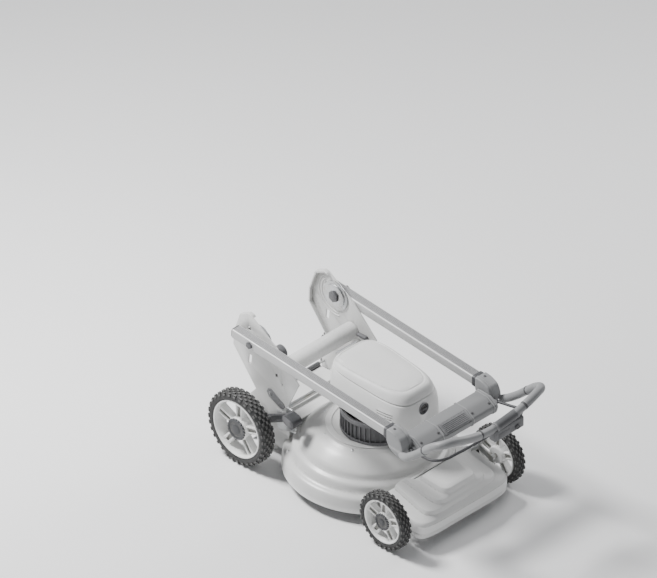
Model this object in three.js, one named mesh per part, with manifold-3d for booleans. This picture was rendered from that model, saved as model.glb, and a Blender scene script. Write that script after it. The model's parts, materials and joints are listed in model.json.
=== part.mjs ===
// Battery push mower with its handle folded forward over the deck.
// Millimetres, +X to the nose, +Y to the mower's left, +Z up. Inside this file X is measured
// from the rear axle; the exported group is shifted so that its origin is on the ground
// under the middle of the whole mower.
import * as THREE from 'three';
import { mergeVertices } from 'three/addons/utils/BufferGeometryUtils.js';
import Module from 'manifold-3d';

const wasm = await Module();
wasm.setup();

// ---------------------------------------------------------------- driving dimensions
const GAP = 0.4;

const REAR_WHEEL = { radius: 135, width: 54, rim: 106, x: 0, z: 135 };
const FRONT_WHEEL = { radius: 105, width: 40, rim: 80, x: 670, z: 105 };
const TRACK_OUTER = 283;
const STUB_RADIUS = 8;

const DECK = { x: 345, rim: 295, floor: 38, wall: 2.6, shaftHole: 30 };
const TUNNEL = { rear: -42, front: 122, half: 160, top: 150, wall: 3 };

const REAR_PIVOT = { x: 60, z: 165 };
const FRONT_PIVOT = { x: 612, z: 122 };
const CRANK_ROD = 7.5;

const BRACKET = { inner: 176, outer: 181 };
const FOLD_PIVOT = { x: 5, z: 445.5 };
const FOLD_BOLT = 7;
const TUBE = { y: 203, width: 40, height: 36, wall: 2, rear: -82, front: 653, slope: 3.17 };
const CROSS_TUBE = { x: 79, z: 345, radius: 30, wall: 2, half: 174.5 };

const HOUSING_FLOOR = 285;
const HOUSING_WALL = 3;
const LID_HINGE = { x: 227, z: 437, pin: 3 };
const KNOB = { radius: 18, z: 371 };
const MOTOR = { x: 345, skirtX: 372, skirtRadius: 125 };

const YOKE_SEAM = 372;
const YOKE = { barHalf: 181, knuckleInner: 179, knuckleOuter: 228 };
const LOOP_RADIUS = 15;
const BAIL_RADIUS = 5;
const BAIL_PIVOT = { x: 722, z: 372 };

// ---------------------------------------------------------------- finishes
function finish(color, roughness, metalness) {
  return new THREE.MeshStandardMaterial({ color, roughness, metalness });
}

const PAINT = finish(0xe9e9e6, 0.4, 0.1);
const COVER = finish(0xf0f0ed, 0.5, 0);
const HANDLE = finish(0xc6c7c8, 0.4, 0.2);
const DARK = finish(0x3a3b3d, 0.6, 0);
const MID = finish(0x7b7d80, 0.55, 0);
const STEEL = finish(0xb4b6b8, 0.35, 0.9);
const RUBBER = finish(0x2a2a2b, 0.9, 0);
const RIM = finish(0xdedfdd, 0.5, 0);

// ---------------------------------------------------------------- solids
function signedVolume(positions, triangles) {
  const [a, b, c] = [new THREE.Vector3(), new THREE.Vector3(), new THREE.Vector3()];
  let volume = 0;
  for (let i = 0; i < triangles.length; i += 3) {
    a.fromArray(positions, triangles[i] * 3);
    b.fromArray(positions, triangles[i + 1] * 3);
    c.fromArray(positions, triangles[i + 2] * 3);
    volume += a.dot(b.cross(c));
  }
  return volume;
}

// A closed geometry as a solid: shared corners merged, slivers dropped, faces turned outwards.
function solid(geometry) {
  const bare = geometry.clone();
  bare.deleteAttribute('normal');
  bare.deleteAttribute('uv');
  const merged = mergeVertices(bare, 1e-3);
  const positions = new Float32Array(merged.attributes.position.array);
  const source = merged.index.array;
  const triangles = [];
  for (let i = 0; i < source.length; i += 3) {
    const [a, b, c] = [source[i], source[i + 1], source[i + 2]];
    if (a !== b && b !== c && c !== a) {
      triangles.push(a, b, c);
    }
  }
  if (signedVolume(positions, triangles) < 0) {
    triangles.reverse();
  }
  const triVerts = new Uint32Array(triangles);
  return new wasm.Manifold(new wasm.Mesh({ numProp: 3, vertProperties: positions, triVerts }));
}

function box(x, y, z) {
  const geometry = new THREE.BoxGeometry(x[1] - x[0], y[1] - y[0], z[1] - z[0]);
  geometry.translate((x[0] + x[1]) / 2, (y[0] + y[1]) / 2, (z[0] + z[1]) / 2);
  return solid(geometry);
}

// A range of Y on one side of the mower: side is -1 on the right, +1 on the left.
function across(side, inner, outer) {
  return side < 0 ? [-outer, -inner] : [inner, outer];
}

function rodX(radius, [x0, x1], y, z, sides = 20) {
  const geometry = new THREE.CylinderGeometry(radius, radius, x1 - x0, sides);
  geometry.rotateZ(Math.PI / 2);
  geometry.translate((x0 + x1) / 2, y, z);
  return solid(geometry);
}

function rodY(radius, [y0, y1], x, z, sides = 12) {
  const geometry = new THREE.CylinderGeometry(radius, radius, y1 - y0, sides);
  geometry.translate(x, (y0 + y1) / 2, z);
  return solid(geometry);
}

function rodZ(radius, [z0, z1], x, y = 0, sides = 24) {
  const geometry = new THREE.CylinderGeometry(radius, radius, z1 - z0, sides);
  geometry.rotateX(Math.PI / 2);
  geometry.translate(x, y, (z0 + z1) / 2);
  return solid(geometry);
}

// A side-view outline of [x, z] corners, given its thickness along Y.
function plateY(outline, [y0, y1]) {
  const shape = new THREE.Shape(outline.map(([x, z]) => new THREE.Vector2(x, z)));
  const geometry = new THREE.ExtrudeGeometry(shape, { depth: y1 - y0, bevelEnabled: false });
  geometry.rotateX(Math.PI / 2);
  geometry.translate(0, y1, 0);
  return solid(geometry);
}

// A turned solid about a vertical axis at x; the profile is [radius, z] and ends where it began
// or on the axis.
function turnedZ(profile, x, sides = 36) {
  const points = profile.map(([r, z]) => new THREE.Vector2(r, z));
  const geometry = new THREE.LatheGeometry(points, sides);
  geometry.rotateX(Math.PI / 2);
  geometry.translate(x, 0, 0);
  return solid(geometry);
}

// A turned solid about a crossways axis at x, z; the profile is [radius, y].
function turnedY(profile, x, z, sides = 24) {
  const points = profile.map(([r, y]) => new THREE.Vector2(r, y));
  const geometry = new THREE.LatheGeometry(points, sides);
  geometry.translate(x, 0, z);
  return solid(geometry);
}

// A round rod or tube along a smooth line through the points.
function bentRod(points, radius, steps, sides = 8) {
  const line = new THREE.CatmullRomCurve3(points.map((p) => new THREE.Vector3(...p)), false, 'catmullrom', 0.5);
  const section = new THREE.Shape();
  for (let i = 0; i < sides; i += 1) {
    const turn = (i / sides) * Math.PI * 2;
    section[i === 0 ? 'moveTo' : 'lineTo'](radius * Math.cos(turn), radius * Math.sin(turn));
  }
  section.closePath();
  const settings = { steps, extrudePath: line, bevelEnabled: false };
  return solid(new THREE.ExtrudeGeometry(section, settings));
}

function ball(radius, [x, y, z]) {
  const geometry = new THREE.SphereGeometry(radius, 12, 8);
  geometry.translate(x, y, z);
  return solid(geometry);
}

// A slab standing along a sloping line in the side view.
function slantedSlab(x, z, length, thickness, half, slope) {
  const geometry = new THREE.BoxGeometry(length, half * 2, thickness);
  geometry.rotateY(slope);
  geometry.translate(x, 0, z);
  return solid(geometry);
}

// One level of a moulded cover: a rounded plan outline whose width and height change
// from its rear edge to its front edge.
const OUTLINE_POINTS = 28;

function level({ x, half, z, square = 4 }) {
  const points = [];
  for (let i = 0; i < OUTLINE_POINTS; i += 1) {
    const turn = (i / OUTLINE_POINTS) * Math.PI * 2;
    const along = Math.sign(Math.cos(turn)) * Math.abs(Math.cos(turn)) ** (2 / square);
    const aside = Math.sign(Math.sin(turn)) * Math.abs(Math.sin(turn)) ** (2 / square);
    const t = (along + 1) / 2;
    points.push([
      THREE.MathUtils.lerp(x[0], x[1], t),
      aside * THREE.MathUtils.lerp(half[0], half[1], t),
      THREE.MathUtils.lerp(z[0], z[1], t),
    ]);
  }
  return points;
}

// A solid stretched over levels from the lowest to the highest, with flat ends.
function stacked(levels) {
  const rings = levels.map(level);
  const positions = rings.flat(2);
  const triangles = [];
  const ringStart = (r) => r * OUTLINE_POINTS;
  for (let r = 0; r + 1 < rings.length; r += 1) {
    for (let i = 0; i < OUTLINE_POINTS; i += 1) {
      const j = (i + 1) % OUTLINE_POINTS;
      const [a, b] = [ringStart(r) + i, ringStart(r) + j];
      const [c, d] = [ringStart(r + 1) + i, ringStart(r + 1) + j];
      triangles.push(a, b, d, a, d, c);
    }
  }
  const last = ringStart(rings.length - 1);
  for (let i = 1; i + 1 < OUTLINE_POINTS; i += 1) {
    triangles.push(0, i + 1, i);
    triangles.push(last, last + i, last + i + 1);
  }
  const geometry = new THREE.BufferGeometry();
  geometry.setAttribute('position', new THREE.Float32BufferAttribute(positions, 3));
  geometry.setIndex(triangles);
  return solid(geometry);
}

// The same levels drawn in by a wall thickness.
function inset(levels, wall) {
  return levels.map(({ x, half, z, square }) => ({
    x: [x[0] + wall, x[1] - wall],
    half: [half[0] - wall, half[1] - wall],
    z: [z[0] - wall, z[1] - wall],
    square,
  }));
}

const EVERYWHERE = 2000;
const below = (z) => box([-EVERYWHERE, EVERYWHERE], [-EVERYWHERE, EVERYWHERE], [-EVERYWHERE, z]);
const above = (z) => box([-EVERYWHERE, EVERYWHERE], [-EVERYWHERE, EVERYWHERE], [z, EVERYWHERE]);

const mower = new THREE.Group();
const foldingTubes = new THREE.Group();
foldingTubes.position.set(FOLD_PIVOT.x, 0, FOLD_PIVOT.z);
foldingTubes.rotation.y = THREE.MathUtils.degToRad(TUBE.slope);
mower.add(foldingTubes);

function piece(name, shape, material, group = mower) {
  const { vertProperties, triVerts } = shape.getMesh();
  const geometry = new THREE.BufferGeometry();
  geometry.setAttribute('position', new THREE.Float32BufferAttribute(vertProperties, 3));
  geometry.setIndex(Array.from(triVerts));
  geometry.computeVertexNormals();
  const mesh = new THREE.Mesh(geometry, material);
  mesh.name = name;
  group.add(mesh);
}

const SIDES = [['right', -1], ['left', 1]];

// ---------------------------------------------------------------- deck
// Outer profile of the stepped dome as [radius, height], from its bottom edge to the centre.
const DOME = [
  [295, 38], [292, 80], [284, 92], [270, 97], [262, 106], [259, 120], [250, 127], [240, 131],
  [234, 141], [230, 152], [200, 176], [172, 190], [158, 198], [DECK.shaftHole, 204],
];

function domeWall(thickness) {
  const inner = DOME.map(([r, z], i) => {
    const onEdge = i === 0;
    const atHole = i === DOME.length - 1;
    return [atHole ? r : r - thickness, onEdge ? z : z - thickness];
  });
  return turnedZ([...DOME, ...inner.reverse(), DOME[0]], DECK.x);
}

function domeEnvelope(clearance) {
  const outside = DOME.map(([r, z]) => [r + clearance, z + clearance]);
  const [, topZ] = outside[outside.length - 1];
  return turnedZ([[0, DECK.floor - 20], [outside[0][0], DECK.floor - 20], ...outside, [0, topZ]], DECK.x);
}

function deckShell() {
  const { rear, front, half, top, wall } = TUNNEL;
  const bottom = DECK.floor + 7;
  const duct = box([rear, front], [-half, half], [bottom, top])
    .subtract(box([rear - 1, front + 1], [wall - half, half - wall], [bottom - 1, top - wall]));
  const mouth = box([rear - 1, front + 30], [wall - half, half - wall], [0, top - wall]);
  return domeWall(DECK.wall).add(duct).subtract(mouth).add(duct);
}

piece('deck_shell', deckShell(), PAINT);

// ---------------------------------------------------------------- front cover and bumper
const COVER_LEVELS = [
  { x: [598, 786], half: [198, 212], z: [84, 62], square: 6 },
  { x: [599, 785], half: [196, 211], z: [128, 92], square: 6 },
  { x: [603, 778], half: [190, 203], z: [140, 101], square: 6 },
  { x: [608, 772], half: [166, 180], z: [146, 106], square: 6 },
  { x: [612, 768], half: [152, 160], z: [158, 118], square: 6 },
  { x: [620, 764], half: [122, 118], z: [164, 128], square: 5 },
  { x: [634, 763], half: [96, 74], z: [174, 142], square: 5 },
  { x: [648, 761], half: [80, 56], z: [184, 158], square: 5 },
  { x: [660, 757], half: [68, 46], z: [190, 165], square: 5 },
];

function frontCover() {
  const hollow = stacked(inset(COVER_LEVELS, 3)).add(box([608, 768], [-178, 178], [40, 90]));
  const axleSlot = box([FRONT_PIVOT.x - 14, FRONT_PIVOT.x + 14], [-260, 260], [40, FRONT_PIVOT.z + 12]);
  return stacked(COVER_LEVELS).subtract(hollow).subtract(domeEnvelope(1)).subtract(axleSlot);
}

function frontBumper() {
  const lip = { x: [604, 784], half: [196, 209], square: 6 };
  const outer = [{ ...lip, z: [44, 44] }, { ...lip, z: [61, 61] }];
  const core = [{ ...lip, z: [47, 47] }, { ...lip, z: [84, 84] }];
  const nose = box([700, 900], [-260, 260], [0, 100]);
  return stacked(outer).subtract(stacked(inset(core, 5))).intersect(nose);
}

function frontAxleFrame() {
  const cheek = [[600, 72], [740, 72], [740, 96], [640, 110], [628, 131], [600, 131]];
  const bores = rodY(CRANK_ROD + GAP, [-200, 200], FRONT_PIVOT.x, FRONT_PIVOT.z);
  const crossBars = box([700, 704], [-164, 164], [74, 92]).add(box([646, 650], [-164, 164], [74, 92]));
  return plateY(cheek, [-164, -160]).add(plateY(cheek, [160, 164])).add(crossBars).subtract(bores);
}

piece('front_cover', frontCover(), COVER);
piece('front_bumper', frontBumper(), COVER);
piece('front_axle_frame', frontAxleFrame(), STEEL);

// ---------------------------------------------------------------- housing, lid and drive
const HOUSING_SEAM = { x: [234, 574], half: [112, 96], z: [430, 405] };
const HOUSING_LEVELS = [
  { x: [232, 580], half: [108, 100], z: [HOUSING_FLOOR, HOUSING_FLOOR] },
  { x: [228, 585], half: [120, 110], z: [312, 306] },
  { x: [228, 584], half: [121, 109], z: [370, 360] },
  HOUSING_SEAM,
];
const LID_LEVELS = [
  { ...HOUSING_SEAM, z: [430 + GAP, 405 + GAP] },
  { x: [238, 560], half: [105, 84], z: [439, 420] },
  { x: [248, 528], half: [94, 62], z: [445, 434] },
  { x: [275, 495], half: [68, 42], z: [449, 444] },
];

function hingeEars(inner, outer) {
  const reach = [[LID_HINGE.x, 429], [LID_HINGE.x + 24, 429], [LID_HINGE.x + 24, 442], [LID_HINGE.x, 443]];
  const ear = (y) => plateY(reach, y).add(rodY(6, y, LID_HINGE.x, LID_HINGE.z, 16));
  return ear([inner, outer]).add(ear([-outer, -inner]));
}

const hingeBore = () => rodY(LID_HINGE.pin + GAP, [-80, 80], LID_HINGE.x, LID_HINGE.z, 16);

function motorHousing() {
  const hollow = inset(HOUSING_LEVELS, HOUSING_WALL);
  hollow[0].z = [HOUSING_FLOOR + HOUSING_WALL, HOUSING_FLOOR + HOUSING_WALL];
  hollow[3].z = [432, 407];
  const behindLid = box([200, 233], [-50, 50], [400, 450]);
  let ears = hingeEars(36, 46).intersect(behindLid);
  for (const [, side] of SIDES) {
    ears = ears.add(box([229, 233], across(side, 36, 46), [405, 431]));
  }
  return stacked(HOUSING_LEVELS)
    .add(ears.subtract(hingeBore()))
    .subtract(stacked(hollow))
    .subtract(rodZ(100, [HOUSING_FLOOR - 1, HOUSING_FLOOR + 5], MOTOR.skirtX))
    .subtract(rodX(KNOB.radius + GAP, [540, 600], 0, KNOB.z));
}

function batteryLid() {
  const ears = hingeEars(24, 34).intersect(above(431 + GAP));
  return stacked(LID_LEVELS).add(ears).subtract(stacked(inset(LID_LEVELS, 3))).subtract(hingeBore());
}

function lidKnob() {
  const face = rodX(KNOB.radius, [556, 590], 0, KNOB.z, 32);
  const grip = rodX(KNOB.radius - 5, [589, 593], 0, KNOB.z, 32);
  return face.add(grip);
}

function motorSkirt() {
  const { skirtX, skirtRadius } = MOTOR;
  const [low, high] = [205, HOUSING_FLOOR - GAP];
  let skirt = rodZ(skirtRadius, [low, high], skirtX, 0, 32).subtract(rodZ(skirtRadius - 4, [low - 1, high + 1], skirtX));
  const ventCount = 10;
  for (let i = 0; i < ventCount; i += 1) {
    const geometry = new THREE.BoxGeometry(40, 20, 46);
    geometry.translate(skirtRadius, 0, (low + high) / 2 + 4);
    geometry.rotateZ(((i + 0.5) / ventCount) * Math.PI * 2);
    geometry.translate(skirtX, 0, 0);
    skirt = skirt.subtract(solid(geometry));
  }
  return skirt;
}

function motorStator() {
  const shell = rodZ(68, [210, 268], MOTOR.x).subtract(rodZ(42, [209, 269], MOTOR.x));
  const flange = rodZ(90, [206, 211], MOTOR.x).subtract(rodZ(42, [205, 212], MOTOR.x));
  return shell.add(flange);
}

piece('motor_housing', motorHousing(), COVER);
piece('battery_lid', batteryLid(), COVER);
piece('lid_hinge_pin', rodY(LID_HINGE.pin, [-47, 47], LID_HINGE.x, LID_HINGE.z, 16), STEEL);
piece('lid_knob', lidKnob(), DARK);
piece('motor_skirt', motorSkirt(), DARK);
piece('motor_stator', motorStator(), STEEL);
piece('motor_rotor', rodZ(40, [214, 264], MOTOR.x).add(rodZ(9, [90, 276], MOTOR.x, 0, 16)), STEEL);
piece('battery_dock', box([296, 474], [-64, 64], [310, 327]), DARK);
piece('battery_pack', box([300, 470], [-60, 60], [327 + GAP, 400]), DARK);
piece('motor_controller', box([484, 545], [-70, 70], [292, 330]), DARK);

// ---------------------------------------------------------------- blade
const BLADE_REACH = 215;

function blade() {
  const plan = [[-BLADE_REACH, -22], [-40, -30], [40, -30], [BLADE_REACH, -30], [BLADE_REACH, 22], [40, 30],
    [-40, 30], [-BLADE_REACH, 30]];
  const shape = new THREE.Shape(plan.map(([u, v]) => new THREE.Vector2(u, v)));
  const geometry = new THREE.ExtrudeGeometry(shape, { depth: 4, bevelEnabled: false });
  geometry.rotateZ(Math.PI / 2);
  geometry.translate(MOTOR.x, 0, 60);
  return solid(geometry).subtract(rodZ(7, [50, 70], MOTOR.x, 0, 16));
}

const adapter = rodZ(34, [64 + GAP, 76], MOTOR.x).add(rodZ(18, [75, 112], MOTOR.x));
const adapterBores = rodZ(9 + GAP, [88, 120], MOTOR.x, 0, 16).add(rodZ(7, [50, 90], MOTOR.x, 0, 16));
const boltHead = rodZ(14, [51, 60 - GAP], MOTOR.x, 0, 6);
piece('blade', blade(), STEEL);
piece('blade_adapter', adapter.subtract(adapterBores), STEEL);
piece('blade_bolt', boltHead.add(rodZ(6.6, [59, 86], MOTOR.x, 0, 16)), STEEL);

// ---------------------------------------------------------------- brackets and cross tube
const BRACKET_OUTLINE = [
  [-8, 245], [-62, 180], [-62, 130], [143, 130], [143, 256], [190, 355], [86, 453], [-29, 522], [-45, 525],
  [-82, 505], [-93, 473], [-110, 423], [-112, 372],
];
const BRACKET_BACK = [[-8, 245], [-112, 372], [-110, 423], [-93, 473], [-82, 505], [-45, 525], [-29, 522]];

function bracketFlange(side) {
  const drawnIn = 6;
  const inward = BRACKET_BACK.map(([x, z]) => [x + drawnIn, z - (z > 500 ? drawnIn : 0)]).reverse();
  return plateY([...BRACKET_BACK, ...inward], across(side, BRACKET.inner - 12, BRACKET.outer));
}

function bracket(side) {
  const through = across(side, BRACKET.inner - 20, BRACKET.outer + 1);
  const foot = box([-20, 100], across(side, TUNNEL.half + GAP, BRACKET.inner + 1), [130, 136]);
  const slot = plateY([[-44, 332], [-30, 332], [-26, 368], [-40, 368]], through);
  return plateY(BRACKET_OUTLINE, across(side, BRACKET.inner, BRACKET.outer))
    .add(bracketFlange(side))
    .add(foot)
    .subtract(slot)
    .subtract(rodY(6, through, 87, 345, 16))
    .subtract(rodY(5, through, 112, 319, 16))
    .subtract(rodY(8, through, -38, 470, 16))
    .subtract(rodY(FOLD_BOLT + GAP, through, FOLD_PIVOT.x, FOLD_PIVOT.z))
    .subtract(rodY(CRANK_ROD + GAP, through, REAR_PIVOT.x, REAR_PIVOT.z));
}

function pivotBoss(side) {
  const disc = rodY(54, across(side, BRACKET.inner - 5, BRACKET.inner - GAP), FOLD_PIVOT.x, FOLD_PIVOT.z, 28);
  const ring = rodY(43, across(side, BRACKET.inner - 10, BRACKET.inner - 4), FOLD_PIVOT.x, FOLD_PIVOT.z, 24);
  const bore = rodY(FOLD_BOLT + GAP, across(side, 150, 180), FOLD_PIVOT.x, FOLD_PIVOT.z);
  return disc.add(ring).subtract(bore);
}

function pivotBolt(side) {
  const tubeOuter = TUBE.y + TUBE.width / 2;
  const head = rodY(21, across(side, BRACKET.inner - 17, BRACKET.inner - 10 - GAP), FOLD_PIVOT.x, FOLD_PIVOT.z, 6);
  const shank = rodY(FOLD_BOLT, across(side, BRACKET.inner - 11, tubeOuter + 2), FOLD_PIVOT.x, FOLD_PIVOT.z);
  const nut = rodY(13, across(side, tubeOuter + GAP, tubeOuter + 6), FOLD_PIVOT.x, FOLD_PIVOT.z, 6);
  return head.add(shank).add(nut);
}

function crossTube() {
  const { x, z, radius, wall, half } = CROSS_TUBE;
  const bore = rodY(radius - wall, [-half - 1, half - 6], x, z, 24);
  return rodY(radius, [-half, half], x, z, 24).subtract(bore);
}

const CABLE_HOOK = [[112, 352], [150, 354], [160, 342], [152, 324], [142, 326], [149, 339], [145, 344], [112, 343]];
const STRAP = [[44, 262], [50, 277], [62, 281], [122, 249], [128, 238], [120, 226], [108, 224], [54, 247]];

for (const [name, side] of SIDES) {
  piece(`bracket_${name}`, bracket(side), PAINT);
  piece(`pivot_boss_${name}`, pivotBoss(side), STEEL);
  piece(`pivot_bolt_${name}`, pivotBolt(side), DARK);
}
piece('cross_tube', crossTube(), PAINT);
piece('cable_hook', plateY(CABLE_HOOK, [BRACKET.inner - 14, BRACKET.inner - GAP]), DARK);
piece('fold_stop', rodY(25, across(-1, BRACKET.inner - 26, BRACKET.inner - GAP), 83, 425, 20), DARK);
piece('lever_strap', plateY(STRAP, across(-1, BRACKET.outer + GAP, BRACKET.outer + 3)), MID);

// ---------------------------------------------------------------- wheels and height adjuster
function wheel(name, spec, side) {
  const { radius, width, rim, x, z } = spec;
  const inner = TRACK_OUTER - width;
  const [y0, y1] = across(side, inner, TRACK_OUTER);
  const shoulder = radius - 9;
  const tyre = [[rim, y0 + 3], [shoulder, y0], [radius, y0 + 7], [radius, y1 - 7], [shoulder, y1], [rim, y1 - 3],
    [rim, y0 + 3]];
  const band = [[rim - 9, y0 + 5], [rim - GAP, y0 + 5], [rim - GAP, y1 - 5], [rim - 9, y1 - 5], [rim - 9, y0 + 5]];
  const hubRadius = radius * 0.29;
  let wheelRim = turnedY(band, x, z).add(rodY(hubRadius, across(side, inner + 4, TRACK_OUTER - 8), x, z));
  const spokeCount = 5;
  for (let i = 0; i < spokeCount; i += 1) {
    const spoke = new THREE.BoxGeometry(rim - hubRadius, width - 24, 15);
    spoke.translate((rim + hubRadius) / 2 - 4, 0, 0);
    spoke.rotateY((i / spokeCount) * Math.PI * 2 + 0.3);
    spoke.translate(x, (y0 + y1) / 2, z);
    wheelRim = wheelRim.add(solid(spoke));
  }
  const bore = rodY(STUB_RADIUS + GAP, [y0, y1], x, z);
  piece(`tyre_${name}`, turnedY(tyre, x, z), RUBBER);
  piece(`rim_${name}`, wheelRim.subtract(bore), RIM);
  piece(`hub_cap_${name}`, rodY(hubRadius, across(side, TRACK_OUTER - 8 + GAP, TRACK_OUTER), x, z, 24), DARK);
}

for (const [name, side] of SIDES) {
  wheel(`rear_${name}`, REAR_WHEEL, side);
  wheel(`front_${name}`, FRONT_WHEEL, side);
}

// A bent axle: one rod across the mower with a crank arm and a stub axle at each end.
function crankAxle(pivot, spec, armInner) {
  const armOuter = armInner + 12;
  const hubFace = TRACK_OUTER - 8;
  let axle = rodY(CRANK_ROD, [-armInner - 1, armInner + 1], pivot.x, pivot.z);
  const reach = Math.hypot(spec.x - pivot.x, spec.z - pivot.z);
  for (const [, side] of SIDES) {
    const y = across(side, armInner, armOuter);
    const arm = new THREE.BoxGeometry(reach, armOuter - armInner, 20);
    arm.rotateY(-Math.atan2(spec.z - pivot.z, spec.x - pivot.x));
    arm.translate((spec.x + pivot.x) / 2, (y[0] + y[1]) / 2, (spec.z + pivot.z) / 2);
    axle = axle
      .add(solid(arm))
      .add(rodY(12, y, pivot.x, pivot.z))
      .add(rodY(12, y, spec.x, spec.z))
      .add(rodY(STUB_RADIUS, across(side, armOuter - 1, hubFace), spec.x, spec.z));
  }
  return axle;
}

const LEVER_OUTLINE = [[46, 158], [66, 150], [196, 222], [190, 244], [176, 244], [52, 178]];
const GRIP_OUTLINE = [[166, 232], [174, 224], [208, 214], [217, 222], [216, 242], [206, 250], [174, 256], [166, 248]];

function heightLever() {
  const bore = rodY(CRANK_ROD + GAP, across(-1, 180, 200), REAR_PIVOT.x, REAR_PIVOT.z);
  return plateY(LEVER_OUTLINE, across(-1, 187, 192)).subtract(bore);
}

const QUADRANT_OUTLINE = [
  [96, 140], [178, 160], [186, 205], [164, 246], [136, 246], [136, 224], [118, 214], [90, 214],
];
piece('rear_axle', crankAxle(REAR_PIVOT, REAR_WHEEL, 205), STEEL);
piece('front_axle', crankAxle(FRONT_PIVOT, FRONT_WHEEL, 222), STEEL);
piece('height_lever', heightLever(), DARK);
piece('height_grip', plateY(GRIP_OUTLINE, across(-1, 192 + GAP, 234)), DARK);
piece('lever_quadrant', plateY(QUADRANT_OUTLINE, across(-1, BRACKET.outer + GAP, 185.6)), STEEL);

// ---------------------------------------------------------------- rear door and flap
const DOOR_HINGE = { x: -50, z: 157, radius: 4 };
const FLAP_HINGE = { x: -66, z: 60 };

function rearDoor() {
  const panel = [[-52, 150], [-46, 150], [-58, 64], [-68, 60], [-70, 64], [-62, 70]];
  return plateY(panel, [-156, 156])
    .add(rodY(7.5, [-150, 150], DOOR_HINGE.x, DOOR_HINGE.z, 20))
    .subtract(rodY(DOOR_HINGE.radius + GAP, [-160, 160], DOOR_HINGE.x, DOOR_HINGE.z, 20));
}

piece('door_rod', rodY(DOOR_HINGE.radius, [-175.5, 175.5], DOOR_HINGE.x, DOOR_HINGE.z, 20), STEEL);
piece('rear_door', rearDoor(), DARK);
piece('trailing_flap', box([-68, -64], [-150, 150], [12, 58]), RUBBER);

// ---------------------------------------------------------------- folding handle
function tubeSection(grow) {
  const [w, h] = [TUBE.width / 2 + grow, TUBE.height / 2 + grow];
  const cut = 6;
  const corners = [[-w, cut - h], [cut - w, -h], [w - cut, -h], [w, cut - h], [w, h - cut], [w - cut, h],
    [cut - w, h], [-w, h - cut]];
  return corners.map(([y, z]) => new THREE.Vector2(y, z));
}

function tubeLength(section, [from, to], side) {
  const geometry = new THREE.ExtrudeGeometry(section, { depth: to - from, bevelEnabled: false });
  geometry.rotateX(Math.PI / 2);
  geometry.rotateZ(Math.PI / 2);
  geometry.translate(from, side * TUBE.y, 0);
  return solid(geometry);
}

function handleTube(side) {
  const section = new THREE.Shape(tubeSection(0));
  section.holes.push(new THREE.Path(tubeSection(-TUBE.wall)));
  const through = across(side, TUBE.y - 30, TUBE.y + 30);
  return tubeLength(section, [TUBE.rear, TUBE.front], side)
    .subtract(rodY(FOLD_BOLT + GAP, through, 0, 0))
    .subtract(rodY(5 + GAP, across(side, TUBE.y - 30, TUBE.y), LOCK_PIN_X, 0));
}

function tubePlug(side) {
  const plug = new THREE.Shape(tubeSection(-TUBE.wall - GAP));
  const cap = new THREE.Shape(tubeSection(-1));
  return tubeLength(plug, [TUBE.rear + 1, TUBE.rear + 18], side)
    .add(tubeLength(cap, [TUBE.rear - 4, TUBE.rear - GAP], side))
    .add(tubeLength(plug, [TUBE.rear - 2, TUBE.rear + 2], side))
    .add(rodX(8, [TUBE.rear - 12, TUBE.rear - 3], side * TUBE.y, 0, 16));
}

const LOCK_PIN_X = -40;
for (const [name, side] of SIDES) {
  const pinRange = across(side, BRACKET.outer + 1, TUBE.y + 4);
  piece(`tube_${name}`, handleTube(side), HANDLE, foldingTubes);
  piece(`tube_plug_${name}`, tubePlug(side), DARK, foldingTubes);
  piece(`lock_plunger_${name}`, rodY(5, pinRange, LOCK_PIN_X, 0, 16), STEEL, foldingTubes);
}

// ---------------------------------------------------------------- yoke and latch
const BAR = [[655, 398], [706, 398], [745, 375], [738, 345], [690, 335], [655, 350]];
const BAR_HOLLOW = [[659, 394], [704, 394], [739, 373], [733, 349], [691, 339], [659, 353]];
const KNUCKLE = [[636, 434], [668, 431], [698, 417], [711, 388], [711, 352], [692, 345], [656, 358], [636, 386]];
const SLANT = { x: 725.5, z: 386.5, angle: Math.atan2(23, 39) };
const INTO_BAR = [-Math.sin(SLANT.angle), -Math.cos(SLANT.angle)];

// A slab lying on the bar's slanted front face, pushed into the bar by a depth.
function slabOnSlant(length, thickness, half, depth) {
  const x = SLANT.x + INTO_BAR[0] * depth;
  const z = SLANT.z + INTO_BAR[1] * depth;
  return slantedSlab(x, z, length, thickness, half, SLANT.angle);
}

// Middle line of the loop, from its right root round the front to its left root.
const LOOP_RIGHT = [
  [694, -213, 358], [724, -231, 367], [768, -236, 398], [822, -237, 446], [866, -238, 482], [893, -227, 498],
  [904, -196, 499], [904, -137, 474], [900, -62, 456],
];
const LOOP_LINE = [...LOOP_RIGHT, [897, 0, 448], ...LOOP_RIGHT.map(([x, y, z]) => [x, -y, z]).reverse()];
const LOOP_STEPS = 36;

const loopEnvelope = bentRod(LOOP_LINE, LOOP_RADIUS + GAP, LOOP_STEPS)
  .add(ball(LOOP_RADIUS + 2, LOOP_LINE[0]))
  .add(ball(LOOP_RADIUS + 2, LOOP_LINE[LOOP_LINE.length - 1]));

function tubeSocket(side) {
  const geometry = new THREE.ExtrudeGeometry(new THREE.Shape(tubeSection(GAP)), { depth: 90, bevelEnabled: false });
  geometry.rotateX(Math.PI / 2);
  geometry.rotateZ(Math.PI / 2);
  geometry.translate(TUBE.front + 1 - 90, side * TUBE.y, 0);
  geometry.rotateY(foldingTubes.rotation.y);
  geometry.translate(FOLD_PIVOT.x, 0, FOLD_PIVOT.z);
  return solid(geometry);
}

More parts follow.
